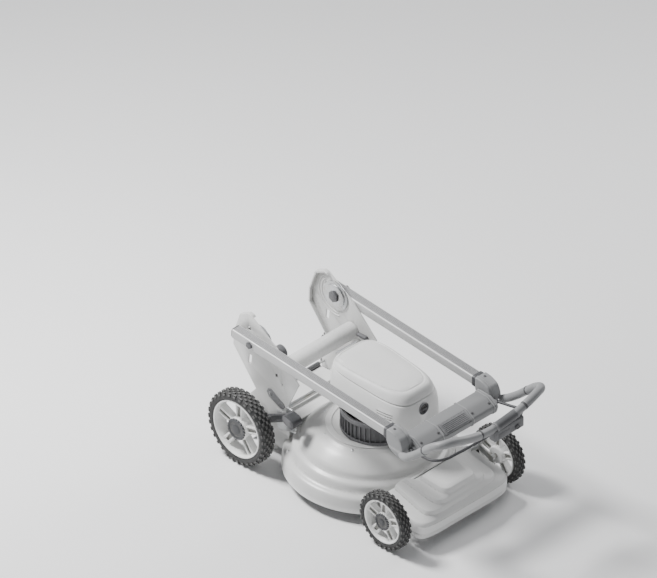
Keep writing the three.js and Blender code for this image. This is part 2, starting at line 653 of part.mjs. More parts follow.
function yoke() {
  let body = plateY(BAR, [-YOKE.barHalf, YOKE.barHalf]);
  for (const [, side] of SIDES) {
    const lug = [[700, 362], [722, 362], [731, 367], [731, 377], [722, 382], [700, 382]];
    body = body
      .add(plateY(KNUCKLE, across(side, YOKE.knuckleInner, YOKE.knuckleOuter)))
      .add(plateY(lug, across(side, 181, 190)))
      .add(rodY(4, across(side, 189, 201), BAIL_PIVOT.x, BAIL_PIVOT.z, 16));
  }
  for (const [, side] of SIDES) {
    body = body.subtract(tubeSocket(side));
  }
  return body
    .subtract(plateY(BAR_HOLLOW, [-170, 170]))
    .subtract(slabOnSlant(46, 30, 62, 4))
    .subtract(loopEnvelope);
}

const wholeYoke = yoke();
piece('yoke_top', wholeYoke.intersect(above(YOKE_SEAM + GAP / 2)), HANDLE);
piece('yoke_bottom', wholeYoke.intersect(below(YOKE_SEAM - GAP / 2)), HANDLE);
piece('latch_paddle', slabOnSlant(42, 12, 60, 1), MID);

// ---------------------------------------------------------------- loop, bail and control pod
function controlPod() {
  const pod = box([882, 916], [-4, 126], [404, 452]).subtract(box([880, 918], [-6, 128], [441, 453]));
  const saddle = box([882, 916], [20, 100], [435, 456]);
  return pod.add(saddle).subtract(loopEnvelope).subtract(rodX(10 + GAP, [892, 920], 95, 420));
}

function bail() {
  const line = [
    [BAIL_PIVOT.x, -195, BAIL_PIVOT.z], [775, -200, 380], [826, -200, 389], [850, -176, 393], [858, -130, 395],
  ];
  const whole = [...line, [862, 0, 396], ...line.map(([x, y, z]) => [x, -y, z]).reverse()];
  let shape = bentRod(whole, BAIL_RADIUS, 24, 6);
  for (const [, side] of SIDES) {
    shape = shape
      .add(rodY(9, across(side, 190 + GAP, 199), BAIL_PIVOT.x, BAIL_PIVOT.z))
      .subtract(rodY(4 + GAP, across(side, 180, 205), BAIL_PIVOT.x, BAIL_PIVOT.z, 16));
  }
  return shape;
}

piece('loop_handle', bentRod(LOOP_LINE, LOOP_RADIUS, LOOP_STEPS), HANDLE);
piece('control_pod', controlPod(), MID);
piece('start_button', rodX(10, [897, 920], 95, 420), DARK);
piece('bail', bail(), DARK);

// The origin: on the ground, under the middle of the mower's overall box.
const overall = new THREE.Box3().setFromObject(mower, true);
const middle = overall.getCenter(new THREE.Vector3());
mower.position.set(-middle.x, -middle.y, -overall.min.z);

export default mower;
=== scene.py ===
"""Battery push mower, handle folded forward over the deck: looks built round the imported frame."""
import json
import math

import bpy
from mathutils import Matrix, Vector

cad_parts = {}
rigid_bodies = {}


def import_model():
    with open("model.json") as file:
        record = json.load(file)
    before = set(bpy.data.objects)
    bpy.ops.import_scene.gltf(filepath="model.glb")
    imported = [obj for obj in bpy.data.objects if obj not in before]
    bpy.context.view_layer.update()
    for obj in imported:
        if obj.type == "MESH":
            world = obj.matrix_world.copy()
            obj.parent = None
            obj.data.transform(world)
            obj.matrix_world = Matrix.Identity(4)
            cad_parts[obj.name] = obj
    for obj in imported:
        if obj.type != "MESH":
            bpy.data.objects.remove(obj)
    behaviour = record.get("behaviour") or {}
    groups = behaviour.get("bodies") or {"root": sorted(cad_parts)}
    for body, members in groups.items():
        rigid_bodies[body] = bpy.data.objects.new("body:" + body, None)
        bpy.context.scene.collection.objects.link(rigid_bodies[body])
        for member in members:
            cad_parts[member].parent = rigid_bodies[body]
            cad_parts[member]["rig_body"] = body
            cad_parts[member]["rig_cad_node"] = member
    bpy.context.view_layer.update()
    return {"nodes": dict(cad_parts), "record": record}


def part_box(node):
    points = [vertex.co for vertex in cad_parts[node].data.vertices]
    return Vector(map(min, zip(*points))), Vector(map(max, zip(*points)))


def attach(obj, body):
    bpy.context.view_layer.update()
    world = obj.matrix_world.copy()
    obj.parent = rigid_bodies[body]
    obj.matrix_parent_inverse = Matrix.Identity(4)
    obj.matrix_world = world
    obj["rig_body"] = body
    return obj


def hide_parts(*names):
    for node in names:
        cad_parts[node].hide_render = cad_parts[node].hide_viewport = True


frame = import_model()
MM = 0.001
SMOOTH_ANGLE = math.radians(32)


# ------------------------------------------------------------------ places taken from the frame
def centre(node):
    low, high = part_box(node)
    return (low + high) / 2


def size(node):
    low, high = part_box(node)
    return high - low


REAR_AXLE = centre("hub_cap_rear_right").x
DECK_X = centre("blade").x


def from_axle(x, y, z):
    """A point in metres from millimetres measured forward of the rear axle."""
    return Vector((REAR_AXLE + x * MM, y * MM, z * MM))


# ------------------------------------------------------------------ shader node groups
def new_group(name, inputs, outputs):
    group = bpy.data.node_groups.new(name, "ShaderNodeTree")
    for label, default in inputs:
        socket = group.interface.new_socket(label, in_out="INPUT", socket_type="NodeSocketFloat")
        socket.default_value = default
    for label in outputs:
        group.interface.new_socket(label, in_out="OUTPUT", socket_type="NodeSocketFloat")
    entry = group.nodes.new("NodeGroupInput")
    exit_node = group.nodes.new("NodeGroupOutput")
    return group, entry, exit_node


def noise(tree, position, scale, detail=3.0, roughness=0.55):
    node = tree.nodes.new("ShaderNodeTexNoise")
    node.inputs["Detail"].default_value = detail
    node.inputs["Roughness"].default_value = roughness
    tree.links.new(position, node.inputs["Vector"])
    if isinstance(scale, (int, float)):
        node.inputs["Scale"].default_value = scale
    else:
        tree.links.new(scale, node.inputs["Scale"])
    return node.outputs["Fac"]


def math_node(tree, operation, first, second):
    node = tree.nodes.new("ShaderNodeMath")
    node.operation = operation
    for socket, value in zip(node.inputs, (first, second)):
        if isinstance(value, (int, float)):
            socket.default_value = value
        else:
            tree.links.new(value, socket)
    return node.outputs[0]


def ramp(tree, value, low, high):
    """0 below low, 1 above high, smooth between them."""
    node = tree.nodes.new("ShaderNodeMapRange")
    node.interpolation_type = "SMOOTHSTEP"
    node.inputs["From Min"].default_value = low
    node.inputs["From Max"].default_value = high
    tree.links.new(value, node.inputs["Value"])
    return node.outputs["Result"]


def object_position(tree):
    return tree.nodes.new("ShaderNodeTexCoord").outputs["Object"]


def make_grain_group():
    """Fine moulded texture: a height for bump, and a slow change of tone."""
    group, entry, leave = new_group("moulded_grain", [("Scale", 900.0)], ["Height", "Tone"])
    position = object_position(group)
    fine = noise(group, position, entry.outputs["Scale"], 2.0)
    slow = noise(group, position, 9.0, 4.0)
    group.links.new(fine, leave.inputs["Height"])
    group.links.new(ramp(group, slow, 0.3, 0.7), leave.inputs["Tone"])
    return group


def make_wear_and_crease_shade_group():
    """Where edges are rubbed, and the hollows of corners and creases, which take dust on dark pieces and
    painted shade on pale ones.
    """
    group, entry, leave = new_group("edge_wear_and_crease_shade", [("Spread", 0.53)], ["Rubbed", "DustAndCreaseShade"])
    position = object_position(group)
    curvature = group.nodes.new("ShaderNodeNewGeometry").outputs["Pointiness"]
    broken = noise(group, position, 130.0, 5.0, 0.7)
    offset = math_node(group, "MULTIPLY", math_node(group, "SUBTRACT", broken, 0.5), 0.06)
    ragged = math_node(group, "ADD", curvature, offset)
    above_edge = math_node(group, "SUBTRACT", ragged, entry.outputs["Spread"])
    group.links.new(ramp(group, above_edge, 0.0, 0.05), leave.inputs["Rubbed"])
    # Hollows in corners and creases: the finishes put dust there on dark pieces and painted shade on pale
    # ones.
    hollow = math_node(group, "SUBTRACT", 0.485, ragged)
    group.links.new(ramp(group, hollow, 0.0, 0.05), leave.inputs["DustAndCreaseShade"])
    return group


def make_brush_group():
    """Fine lines of drawn or ground metal along X, with slow stains."""
    group, entry, leave = new_group("drawn_metal", [("Scale", 500.0)], ["Lines", "Stain"])
    stretch = group.nodes.new("ShaderNodeMapping")
    stretch.inputs["Scale"].default_value = (0.06, 1.0, 1.0)
    position = object_position(group)
    group.links.new(position, stretch.inputs["Vector"])
    group.links.new(noise(group, stretch.outputs["Vector"], entry.outputs["Scale"]), leave.inputs["Lines"])
    group.links.new(ramp(group, noise(group, position, 24.0, 5.0), 0.35, 0.75), leave.inputs["Stain"])
    return group


GRAIN = make_grain_group()
WEAR_AND_CREASE_SHADE = make_wear_and_crease_shade_group()
BRUSH = make_brush_group()


# ------------------------------------------------------------------ materials
def group_node(tree, group, **values):
    node = tree.nodes.new("ShaderNodeGroup")
    node.node_tree = group
    for label, value in values.items():
        node.inputs[label].default_value = value
    return node


def colour_sockets(node):
    """The Mix node's colour inputs, which share their labels with its other types."""
    return [s for s in node.inputs if s.type == "RGBA"]


def blended(tree, factor, first, second):
    node = tree.nodes.new("ShaderNodeMix")
    node.data_type = "RGBA"
    tree.links.new(factor, node.inputs[0])
    for socket, value in zip(colour_sockets(node), (first, second)):
        if isinstance(value, tuple):
            socket.default_value = (*value, 1.0)
        else:
            tree.links.new(value, socket)
    return next(s for s in node.outputs if s.type == "RGBA")


RUBBED_EDGE = 0.53
GLOSS_SPREAD = 0.12


def finish_material(name, colour, shade, rubbed, dust_and_crease_shade, roughness, metallic=0.0, coat=0.0, scale=900.0,
                    bump=0.04, spread=RUBBED_EDGE):
    """A moulded or painted finish: tone and gloss vary, edges are rubbed, and corners and creases take the
    dust colour, which is painted shade where it is darker than the finish.
    """
    material = bpy.data.materials.new(name)
    material.use_nodes = True
    tree = material.node_tree
    shader = tree.nodes["Principled BSDF"]
    shader.inputs["Metallic"].default_value = metallic
    shader.inputs["Coat Weight"].default_value = coat
    shader.inputs["Coat Roughness"].default_value = 0.2
    grain = group_node(tree, GRAIN, Scale=scale)
    wear_and_shade = group_node(tree, WEAR_AND_CREASE_SHADE, Spread=spread)
    toned = blended(tree, grain.outputs["Tone"], colour, shade)
    worn = blended(tree, wear_and_shade.outputs["Rubbed"], toned, rubbed)
    # Corners and creases blend toward the dust colour: lighter dust on dark pieces, painted shade on pale
    # ones.
    dusted_and_shaded = blended(tree, math_node(tree, "MULTIPLY", wear_and_shade.outputs["DustAndCreaseShade"], 0.85), worn, dust_and_crease_shade)
    tree.links.new(dusted_and_shaded, shader.inputs["Base Color"])
    uneven = math_node(tree, "MULTIPLY", grain.outputs["Tone"], GLOSS_SPREAD)
    gloss = math_node(tree, "ADD", uneven, roughness)
    tree.links.new(gloss, shader.inputs["Roughness"])
    relief = tree.nodes.new("ShaderNodeBump")
    relief.inputs["Strength"].default_value = bump
    relief.inputs["Distance"].default_value = 0.002
    tree.links.new(grain.outputs["Height"], relief.inputs["Height"])
    tree.links.new(relief.outputs["Normal"], shader.inputs["Normal"])
    return material


def metal_material(name, colour, stain, roughness):
    """Plated or ground steel: drawn lines, slow stains and brighter edges."""
    material = bpy.data.materials.new(name)
    material.use_nodes = True
    tree = material.node_tree
    shader = tree.nodes["Principled BSDF"]
    shader.inputs["Metallic"].default_value = 1.0
    brush = group_node(tree, BRUSH, Scale=500.0)
    wear_and_shade = group_node(tree, WEAR_AND_CREASE_SHADE, Spread=RUBBED_EDGE)
    dulled = blended(tree, brush.outputs["Stain"], colour, stain)
    bright = tuple(min(1.0, c * 1.35) for c in colour)
    tree.links.new(blended(tree, wear_and_shade.outputs["Rubbed"], dulled, bright), shader.inputs["Base Color"])
    uneven = math_node(tree, "MULTIPLY", brush.outputs["Lines"], 0.25)
    tree.links.new(math_node(tree, "ADD", uneven, roughness), shader.inputs["Roughness"])
    relief = tree.nodes.new("ShaderNodeBump")
    relief.inputs["Strength"].default_value = 0.08
    relief.inputs["Distance"].default_value = 0.001
    tree.links.new(brush.outputs["Lines"], relief.inputs["Height"])
    tree.links.new(relief.outputs["Normal"], shader.inputs["Normal"])
    return material


# Crease colour: darker than the pale finishes, where it is painted shade in corners and creases, and
# lighter than the dark plastic, where it is dust.
DUST_AND_CREASE_SHADE = (0.20, 0.195, 0.18)
GREY_DUST = (0.17, 0.168, 0.162)
FINISHES = {
    "body_paint": finish_material("white_powder_coat", (0.62, 0.62, 0.61), (0.58, 0.58, 0.57),
                                  (0.74, 0.74, 0.73), DUST_AND_CREASE_SHADE, 0.34, coat=0.25, scale=1500.0, bump=0.03),
    "cover_plastic": finish_material("white_moulded_cover", (0.70, 0.70, 0.69), (0.66, 0.66, 0.65),
                                     (0.80, 0.80, 0.79), DUST_AND_CREASE_SHADE, 0.42, scale=1100.0, bump=0.06),
    "handle_grey": finish_material("grey_handle_coat", (0.30, 0.305, 0.31), (0.26, 0.265, 0.27),
                                   (0.48, 0.48, 0.48), DUST_AND_CREASE_SHADE, 0.36, metallic=0.15, scale=1600.0, bump=0.04),
    # The handle plastic's crease colour is a darker grey: painted shade in its corners and creases.
    "handle_plastic": finish_material("grey_moulded_handle", (0.285, 0.288, 0.292), (0.245, 0.248, 0.252),
                                      (0.42, 0.42, 0.42), (0.21, 0.212, 0.215), 0.44, scale=850.0,
                                      bump=0.08),
    "dark_plastic": finish_material("charcoal_plastic", (0.034, 0.035, 0.038), (0.05, 0.051, 0.055),
                                    (0.13, 0.13, 0.135), DUST_AND_CREASE_SHADE, 0.46, scale=700.0, bump=0.1),
    "mid_plastic": finish_material("mid_grey_plastic", (0.10, 0.102, 0.106), (0.13, 0.132, 0.136),
                                   (0.24, 0.24, 0.245), GREY_DUST, 0.44, scale=800.0, bump=0.08),
    "steel": metal_material("zinc_plated_steel", (0.52, 0.53, 0.54), (0.40, 0.39, 0.36), 0.26),
    "rim_plastic": finish_material("pale_rim_plastic", (0.74, 0.74, 0.725), (0.68, 0.68, 0.665),
                                   (0.83, 0.83, 0.82), DUST_AND_CREASE_SHADE, 0.4, scale=900.0, bump=0.06),
    "tyre": finish_material("tyre_rubber", (0.028, 0.028, 0.029), (0.045, 0.044, 0.043),
                            (0.10, 0.10, 0.098), (0.20, 0.18, 0.15), 0.62, scale=420.0, bump=0.16,
                            spread=0.54),
    "flap_rubber": finish_material("flap_rubber", (0.03, 0.03, 0.031), (0.05, 0.049, 0.047),
                                   (0.11, 0.11, 0.11), (0.2, 0.18, 0.15), 0.7, scale=300.0, bump=0.14),
}
SLOT_OF = {row["node"]: row["material_slot"] for row in frame["record"]["subparts"]}
BODY_OF = {node: body for body, nodes in frame["record"]["behaviour"]["bodies"].items() for node in nodes}


# ------------------------------------------------------------------ modelling helpers
def only(obj):
    """Deselects everything else, and makes this object the one that operators act on."""
    for other in list(bpy.context.selected_objects):
        other.select_set(False)
    obj.select_set(True)
    bpy.context.view_layer.objects.active = obj


SELECT_MODES = {"VERT": (True, False, False), "EDGE": (False, True, False), "FACE": (False, False, True)}


def edit(obj, kind="VERT"):
    only(obj)
    bpy.context.tool_settings.mesh_select_mode = SELECT_MODES[kind]
    bpy.ops.object.mode_set(mode="EDIT")


def edit_all(obj):
    edit(obj)
    bpy.ops.mesh.select_all(action="SELECT")


def leave_edit():
    bpy.ops.object.mode_set(mode="OBJECT")


def select_nothing(mesh):
    for elements in (mesh.vertices, mesh.edges, mesh.polygons):
        for element in elements:
            element.select = False


def choose_faces(obj, wanted):
    """Selects the faces whose polygon passes the test, ready for the next edit."""
    leave_edit()
    select_nothing(obj.data)
    for face in obj.data.polygons:
        face.select = bool(wanted(face))
    edit(obj, "FACE")


def choose_edges(obj, wanted):
    """Selects the edges whose two end points pass the test, ready for the next edit."""
    leave_edit()
    mesh = obj.data
    select_nothing(mesh)
    for line in mesh.edges:
        first, second = (mesh.vertices[i].co for i in line.vertices)
        line.select = bool(wanted(first, second))
    edit(obj, "EDGE")


def bevel_edges(obj, wanted, width, segments=5):
    choose_edges(obj, wanted)
    bpy.ops.mesh.bevel(offset=width, segments=segments)
    leave_edit()


def apply_place(obj):
    only(obj)
    bpy.ops.object.transform_apply(location=True, rotation=True, scale=True)


def added(name):
    obj = bpy.context.active_object
    obj.name = name
    obj.data.name = name
    return obj


def apply_modifier(obj, kind, **settings):
    modifier = obj.modifiers.new(kind.lower(), kind)
    for label, value in settings.items():
        setattr(modifier, label, value)
    only(obj)
    bpy.ops.object.modifier_apply(modifier=modifier.name)


def soften(obj, width, segments=2, angle=30):
    """Rounds the piece's sharp edges, and shades it smooth between them."""
    apply_modifier(obj, "BEVEL", width=width, segments=segments, limit_method="ANGLE",
                   angle_limit=math.radians(angle), use_clamp_overlap=True)
    smooth(obj)


def smooth(obj, angle=SMOOTH_ANGLE):
    only(obj)
    bpy.ops.object.shade_smooth_by_angle(angle=angle)


def face_outwards(obj):
    edit_all(obj)
    bpy.ops.mesh.remove_doubles(threshold=0.00002)
    bpy.ops.mesh.normals_make_consistent(inside=False)
    leave_edit()


def cube(name, low, high):
    low, high = Vector(low), Vector(high)
    bpy.ops.mesh.primitive_cube_add(size=1, location=(low + high) / 2, scale=high - low)
    obj = added(name)
    apply_place(obj)
    return obj


def rod(name, radius, start, end, sides=32):
    start, end = Vector(start), Vector(end)
    turn = (end - start).to_track_quat("Z", "Y").to_euler()
    bpy.ops.mesh.primitive_cylinder_add(vertices=sides, radius=radius, depth=(end - start).length,
                                        location=(start + end) / 2, rotation=turn)
    obj = added(name)
    apply_place(obj)
    return obj


def joined(name, pieces):
    only(pieces[0])
    for piece in pieces[1:]:
        piece.select_set(True)
    bpy.ops.object.join()
    return added(name)


def copied(obj, name, move=Matrix.Identity(4)):
    """A copy with its own mesh, moved by a matrix; a mirrored copy is turned right side out."""
    only(obj)
    bpy.ops.object.duplicate()
    twin = added(name)
    twin.data.transform(move)
    if move.determinant() < 0:
        edit_all(twin)
        bpy.ops.mesh.flip_normals()
        leave_edit()
    return twin


def cut(obj, tool, operation="DIFFERENCE"):
    apply_modifier(obj, "BOOLEAN", object=tool, operation=operation, solver="EXACT")
    bpy.data.objects.remove(tool)


def mirror_y():
    return Matrix.Scale(-1, 4, (0, 1, 0))


def outline_strip(name, points):
    """An open line of corners, drawn by extruding one corner from point to point."""
    bpy.ops.mesh.primitive_plane_add(size=0.01, location=(0, 0, 0))
    obj = added(name)
    edit_all(obj)
    bpy.ops.mesh.merge(type="CENTER")
    here = Vector((0, 0, 0))
    for i, point in enumerate(Vector(p) for p in points):
        step = point - here
        if i == 0:
            bpy.ops.transform.translate(value=step)
        else:
            bpy.ops.mesh.extrude_region_move(TRANSFORM_OT_translate={"value": step})
        here = point
    leave_edit()
    return obj


def turned(name, profile, place, axis="Z", steps=96):
    """A spun piece: profile is [radius, distance along the axis] in metres, place is its zero."""
    obj = outline_strip(name, [(r, 0, h) for r, h in profile])
    edit_all(obj)
    bpy.ops.mesh.spin(steps=steps, angle=math.tau, center=(0, 0, 0), axis=(0, 0, 1))
    leave_edit()
    face_outwards(obj)
    if axis == "Y":
        obj.data.transform(Matrix.Rotation(math.radians(-90), 4, "X"))
    elif axis == "X":
        obj.data.transform(Matrix.Rotation(math.radians(90), 4, "Y"))
    obj.data.transform(Matrix.Translation(Vector(place)))
    return obj


def between(first, second, t):
    return first + (second - first) * t


def limited(value):
    return max(0.0, min(1.0, value))


def in_metres(profile):
    return [(r * MM, h * MM) for r, h in profile]


def scoop_ball(name, place, radii):
    """An egg shape used to hollow a finger scoop."""
    bpy.ops.mesh.primitive_uv_sphere_add(segments=40, ring_count=20, radius=1, location=place,
                                         scale=[r * MM for r in radii])
    obj = added(name)
    apply_place(obj)
    return obj


def screw_head(name, place, radius=5, toward="Z"):
    """A round screw head with a cross-shaped recess."""
    profile = [(0, 0), (radius * MM, 0), (radius * MM, 1.2 * MM), (radius * 0.7 * MM, 2.2 * MM),
               (0, 2.6 * MM)]
    head = turned(name, profile, (0, 0, 0), "Z", 20)
    for turn in (0, math.pi / 2):
        slot = cube(name + "_slot", (-radius * 0.55 * MM, -0.5 * MM, 1.5 * MM),
                    (radius * 0.55 * MM, 0.5 * MM, 4 * MM))
        slot.data.transform(Matrix.Rotation(turn, 4, "Z"))
        cut(head, slot)
    turns = {"Z": Matrix.Identity(4), "-Y": Matrix.Rotation(math.radians(90), 4, "X")}
    head.data.transform(Matrix.Translation(Vector(place)) @ turns[toward])
    smooth(head)
    return head


def bent_tube(name, points, radius, resolution=10):
    """A round tube along a smooth line through the points, in metres."""
    bpy.ops.curve.primitive_bezier_curve_add(location=(0, 0, 0))
    line = added(name)
    curve = line.data
    curve.dimensions = "3D"
    spline = curve.splines[0]
    spline.bezier_points.add(len(points) - len(spline.bezier_points))
    for knot, place in zip(spline.bezier_points, points):
        knot.co = place
        knot.handle_left_type = "AUTO"
        knot.handle_right_type = "AUTO"
    curve.resolution_u = resolution
    curve.bevel_depth = radius
    curve.bevel_resolution = 6
    curve.use_fill_caps = True
    only(line)
    bpy.ops.object.convert(target="MESH")
    tube = added(name)
    face_outwards(tube)
    smooth(tube, math.radians(50))
    return tube


def refined(node):
    """A copy of a CAD piece as one clean mesh with its edges rounded."""
    source = frame["nodes"][node]
    only(source)
    bpy.ops.object.duplicate()
    obj = added(node + "_finished")
    obj.parent = None
    obj.matrix_world = Matrix.Identity(4)
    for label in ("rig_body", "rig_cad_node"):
        if label in obj:
            del obj[label]
    obj.data.materials.clear()
    edit_all(obj)
    bpy.ops.mesh.remove_doubles(threshold=0.00001)
    bpy.ops.mesh.dissolve_limited(angle_limit=math.radians(1.0))
    leave_edit()
    soften(obj, 0.8 * MM)
    return obj


FINISHED = set()


def settle(obj, body, slot, *nodes):
    """Gives a finished piece its material and body, and hides the CAD pieces that it stands for."""
    obj.data.materials.clear()
    obj.data.materials.append(FINISHES[slot])
    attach(obj, body)
    if nodes:
        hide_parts(*nodes)
        FINISHED.update(nodes)
    return obj


# ------------------------------------------------------------------ wheels
def build_tyre(name, radius, width, rim, columns):
    """A block-tread tyre standing at the origin with its axle along Y."""
    block = 4.5 * MM
    tread_half = width * 0.33
    bpy.ops.mesh.primitive_cylinder_add(vertices=columns, radius=radius - block, depth=tread_half * 2,
                                        end_fill_type="NOTHING")
    obj = added(name)
    choose_edges(obj, lambda a, b: abs(a.z - b.z) > tread_half)
    bpy.ops.mesh.subdivide(number_cuts=3)
    sidewall = [(radius - 8 * MM, width * 0.42), (radius - 15 * MM, width * 0.485),
                (rim + 9 * MM, width * 0.5), (rim + 2.5 * MM, width * 0.46), (rim + 0.2 * MM, width * 0.40)]
    for side in (-1, 1):
        edge = tread_half
        reach = radius - block
        for next_reach, next_edge in sidewall:
            level = side * edge
            choose_edges(obj, lambda a, b: abs(a.z - level) < 1e-5 and abs(b.z - level) < 1e-5
                         and abs(a.xy.length - reach) < 1e-4 and abs(b.xy.length - reach) < 1e-4)
            outward = (0, 0, side * (next_edge - edge))
            bpy.ops.mesh.extrude_region_move(TRANSFORM_OT_translate={"value": outward})
            grow = next_reach / reach
            bpy.ops.transform.resize(value=(grow, grow, 1))
            edge, reach = next_edge, next_reach
    bore = rim + 0.2 * MM
    choose_edges(obj, lambda a, b: abs(a.z - b.z) < 1e-6 and a.xy.length < bore + 1e-4
                 and b.xy.length < bore + 1e-4)
    bpy.ops.mesh.bridge_edge_loops()
    leave_edit()
    face_outwards(obj)
    step = math.tau / columns

    def is_block(face):
        spot = face.center
        if spot.xy.length < radius - 12.5 * MM:
            return False
        column = int(((math.atan2(spot.y, spot.x) + math.tau) % math.tau) / step)
        row = math.floor(spot.z / (tread_half / 2))
        return (column + row) % 2 == 0

    choose_faces(obj, is_block)
    bpy.ops.mesh.inset(thickness=0.9 * MM, use_individual=True)
    bpy.ops.mesh.extrude_region_shrink_fatten(TRANSFORM_OT_shrink_fatten={"value": block * 0.96})
    leave_edit()
    soften(obj, 0.5 * MM, 1, 35)
    obj.data.transform(Matrix.Rotation(math.radians(90), 4, "X"))
    return obj


def spoke(name, inner, outer, width, depth, turn):
    """One tapered spoke with a sunk channel down its outer face, lying out along its own angle."""
    bpy.ops.mesh.primitive_cube_add(size=1, location=((inner + outer) / 2, 0, 0),
                                    scale=(outer - inner, width, depth))
    obj = added(name)
    apply_place(obj)
    choose_faces(obj, lambda face: abs(face.normal.z) > 0.9)
    bpy.ops.mesh.inset(thickness=width * 0.24, use_individual=True)
    bpy.ops.mesh.extrude_region_shrink_fatten(TRANSFORM_OT_shrink_fatten={"value": -depth * 0.28})
    leave_edit()
    choose_faces(obj, lambda face: face.normal.x > 0.9)
    bpy.ops.transform.resize(value=(1, 1.5, 1))
    leave_edit()
    soften(obj, 0.9 * MM, 2)
    obj.data.transform(Matrix.Rotation(turn, 4, "Z"))
    return obj


def build_rim(name, rim, width, hub):
    """A rim band, a hub core and five channelled spokes between them."""
    lip = width * 0.5 - 1.5 * MM
    band = [(rim - 1.2 * MM, -lip), (rim - 0.4 * MM, -lip * 0.8), (rim - 0.4 * MM, lip * 0.8),
            (rim - 1.2 * MM, lip), (rim - 5 * MM, lip), (rim - 9 * MM, lip * 0.55),
            (rim - 9 * MM, -lip * 0.55), (rim - 5 * MM, -lip), (rim - 1.2 * MM, -lip)]
    pieces = [turned(name + "_band", band, (0, 0, 0), "Z", 72)]
    core = [(8.6 * MM, -lip), (hub - 2 * MM, -lip), (hub, -lip + 2 * MM), (hub, lip - 6 * MM),
            (hub - 2 * MM, lip - 5 * MM), (8.6 * MM, lip - 5 * MM), (8.6 * MM, -lip)]
    pieces.append(turned(name + "_core", core, (0, 0, 0), "Z", 48))
    spokes = 5
    for i in range(spokes):
        turn = math.tau * i / spokes + 0.3
        pieces.append(spoke(f"{name}_spoke_{i}", hub - 2 * MM, rim - 7 * MM, 22 * MM, width * 0.5, turn))
    obj = joined(name, pieces)
    smooth(obj)
    obj.data.transform(Matrix.Rotation(math.radians(90), 4, "X"))
    return obj


def build_hub_cap(name, hub, thickness):
    """A dark cap with gripping teeth round it and a dished middle."""
    teeth = 20
    bpy.ops.mesh.primitive_cylinder_add(vertices=teeth * 2, radius=hub - 2.2 * MM, depth=thickness)
    obj = added(name)
    step = math.tau / (teeth * 2)

    def is_tooth(face):
        angle = (math.atan2(face.center.y, face.center.x) + math.tau) % math.tau
        return abs(face.normal.z) < 0.1 and int(angle / step) % 2 == 0

    choose_faces(obj, is_tooth)
    bpy.ops.mesh.extrude_region_shrink_fatten(TRANSFORM_OT_shrink_fatten={"value": 2.0 * MM})
    leave_edit()
    choose_faces(obj, lambda face: face.normal.z > 0.9 and face.center.xy.length < 1 * MM)
    bpy.ops.mesh.inset(thickness=hub * 0.16)
    bpy.ops.mesh.inset(thickness=hub * 0.06, depth=-thickness * 0.3)
    bpy.ops.mesh.inset(thickness=hub * 0.28)
    bpy.ops.mesh.inset(thickness=hub * 0.06, depth=thickness * 0.25)
    leave_edit()
    soften(obj, 0.5 * MM, 1, 35)
    obj.data.transform(Matrix.Rotation(math.radians(90), 4, "X"))
    return obj


def finish_wheels():
    """Front wheels are one size and rear wheels another; the left ones are mirrored copies."""
    columns = {"rear": 64, "front": 52}
    for end, count in columns.items():
        right = f"{end}_right"
        extent = size(f"tyre_{right}")
        radius, width = extent.z / 2, extent.y
        rim = size(f"rim_{right}").z / 2
        hub = size(f"hub_cap_{right}").z / 2
        cap_depth = size(f"hub_cap_{right}").y
        makers = {
            "tyre": build_tyre("tyre_pattern", radius, width, rim, count),
            "rim": build_rim("rim_pattern", rim, width, hub),
            "hub_cap": build_hub_cap("cap_pattern", hub, cap_depth),
        }
        slots = {"tyre": "tyre", "rim": "rim_plastic", "hub_cap": "dark_plastic"}
        for side, mirrored in (("right", False), ("left", True)):
            for part, pattern in makers.items():
                node = f"{part}_{end}_{side}"
                at = node if part == "hub_cap" else f"tyre_{end}_{side}"
                move = Matrix.Translation(centre(at))
                if mirrored:
                    move = move @ mirror_y()
                wheel_part = copied(pattern, node + "_finished", move)
                settle(wheel_part, BODY_OF[node], slots[part], node)
        for pattern in makers.values():
            bpy.data.objects.remove(pattern)


# ------------------------------------------------------------------ deck
# The pressed steps of the deck from its skirt to its crown: radius and height, in millimetres.
DOME = [
    (295, 38), (294, 60), (292, 80), (289, 87), (284, 91.5), (276, 94), (268, 97), (263, 102), (260.5, 109),
    (259, 117), (256, 122.5), (250, 126.5), (242, 130), (237, 134), (234, 140), (232, 147), (229, 152),
    (222, 158), (200, 175.5), (186, 184), (172, 190), (168, 192.5), (163, 196.5), (158, 198.5),
    (120, 201), (60, 203), (34, 203.8),
]


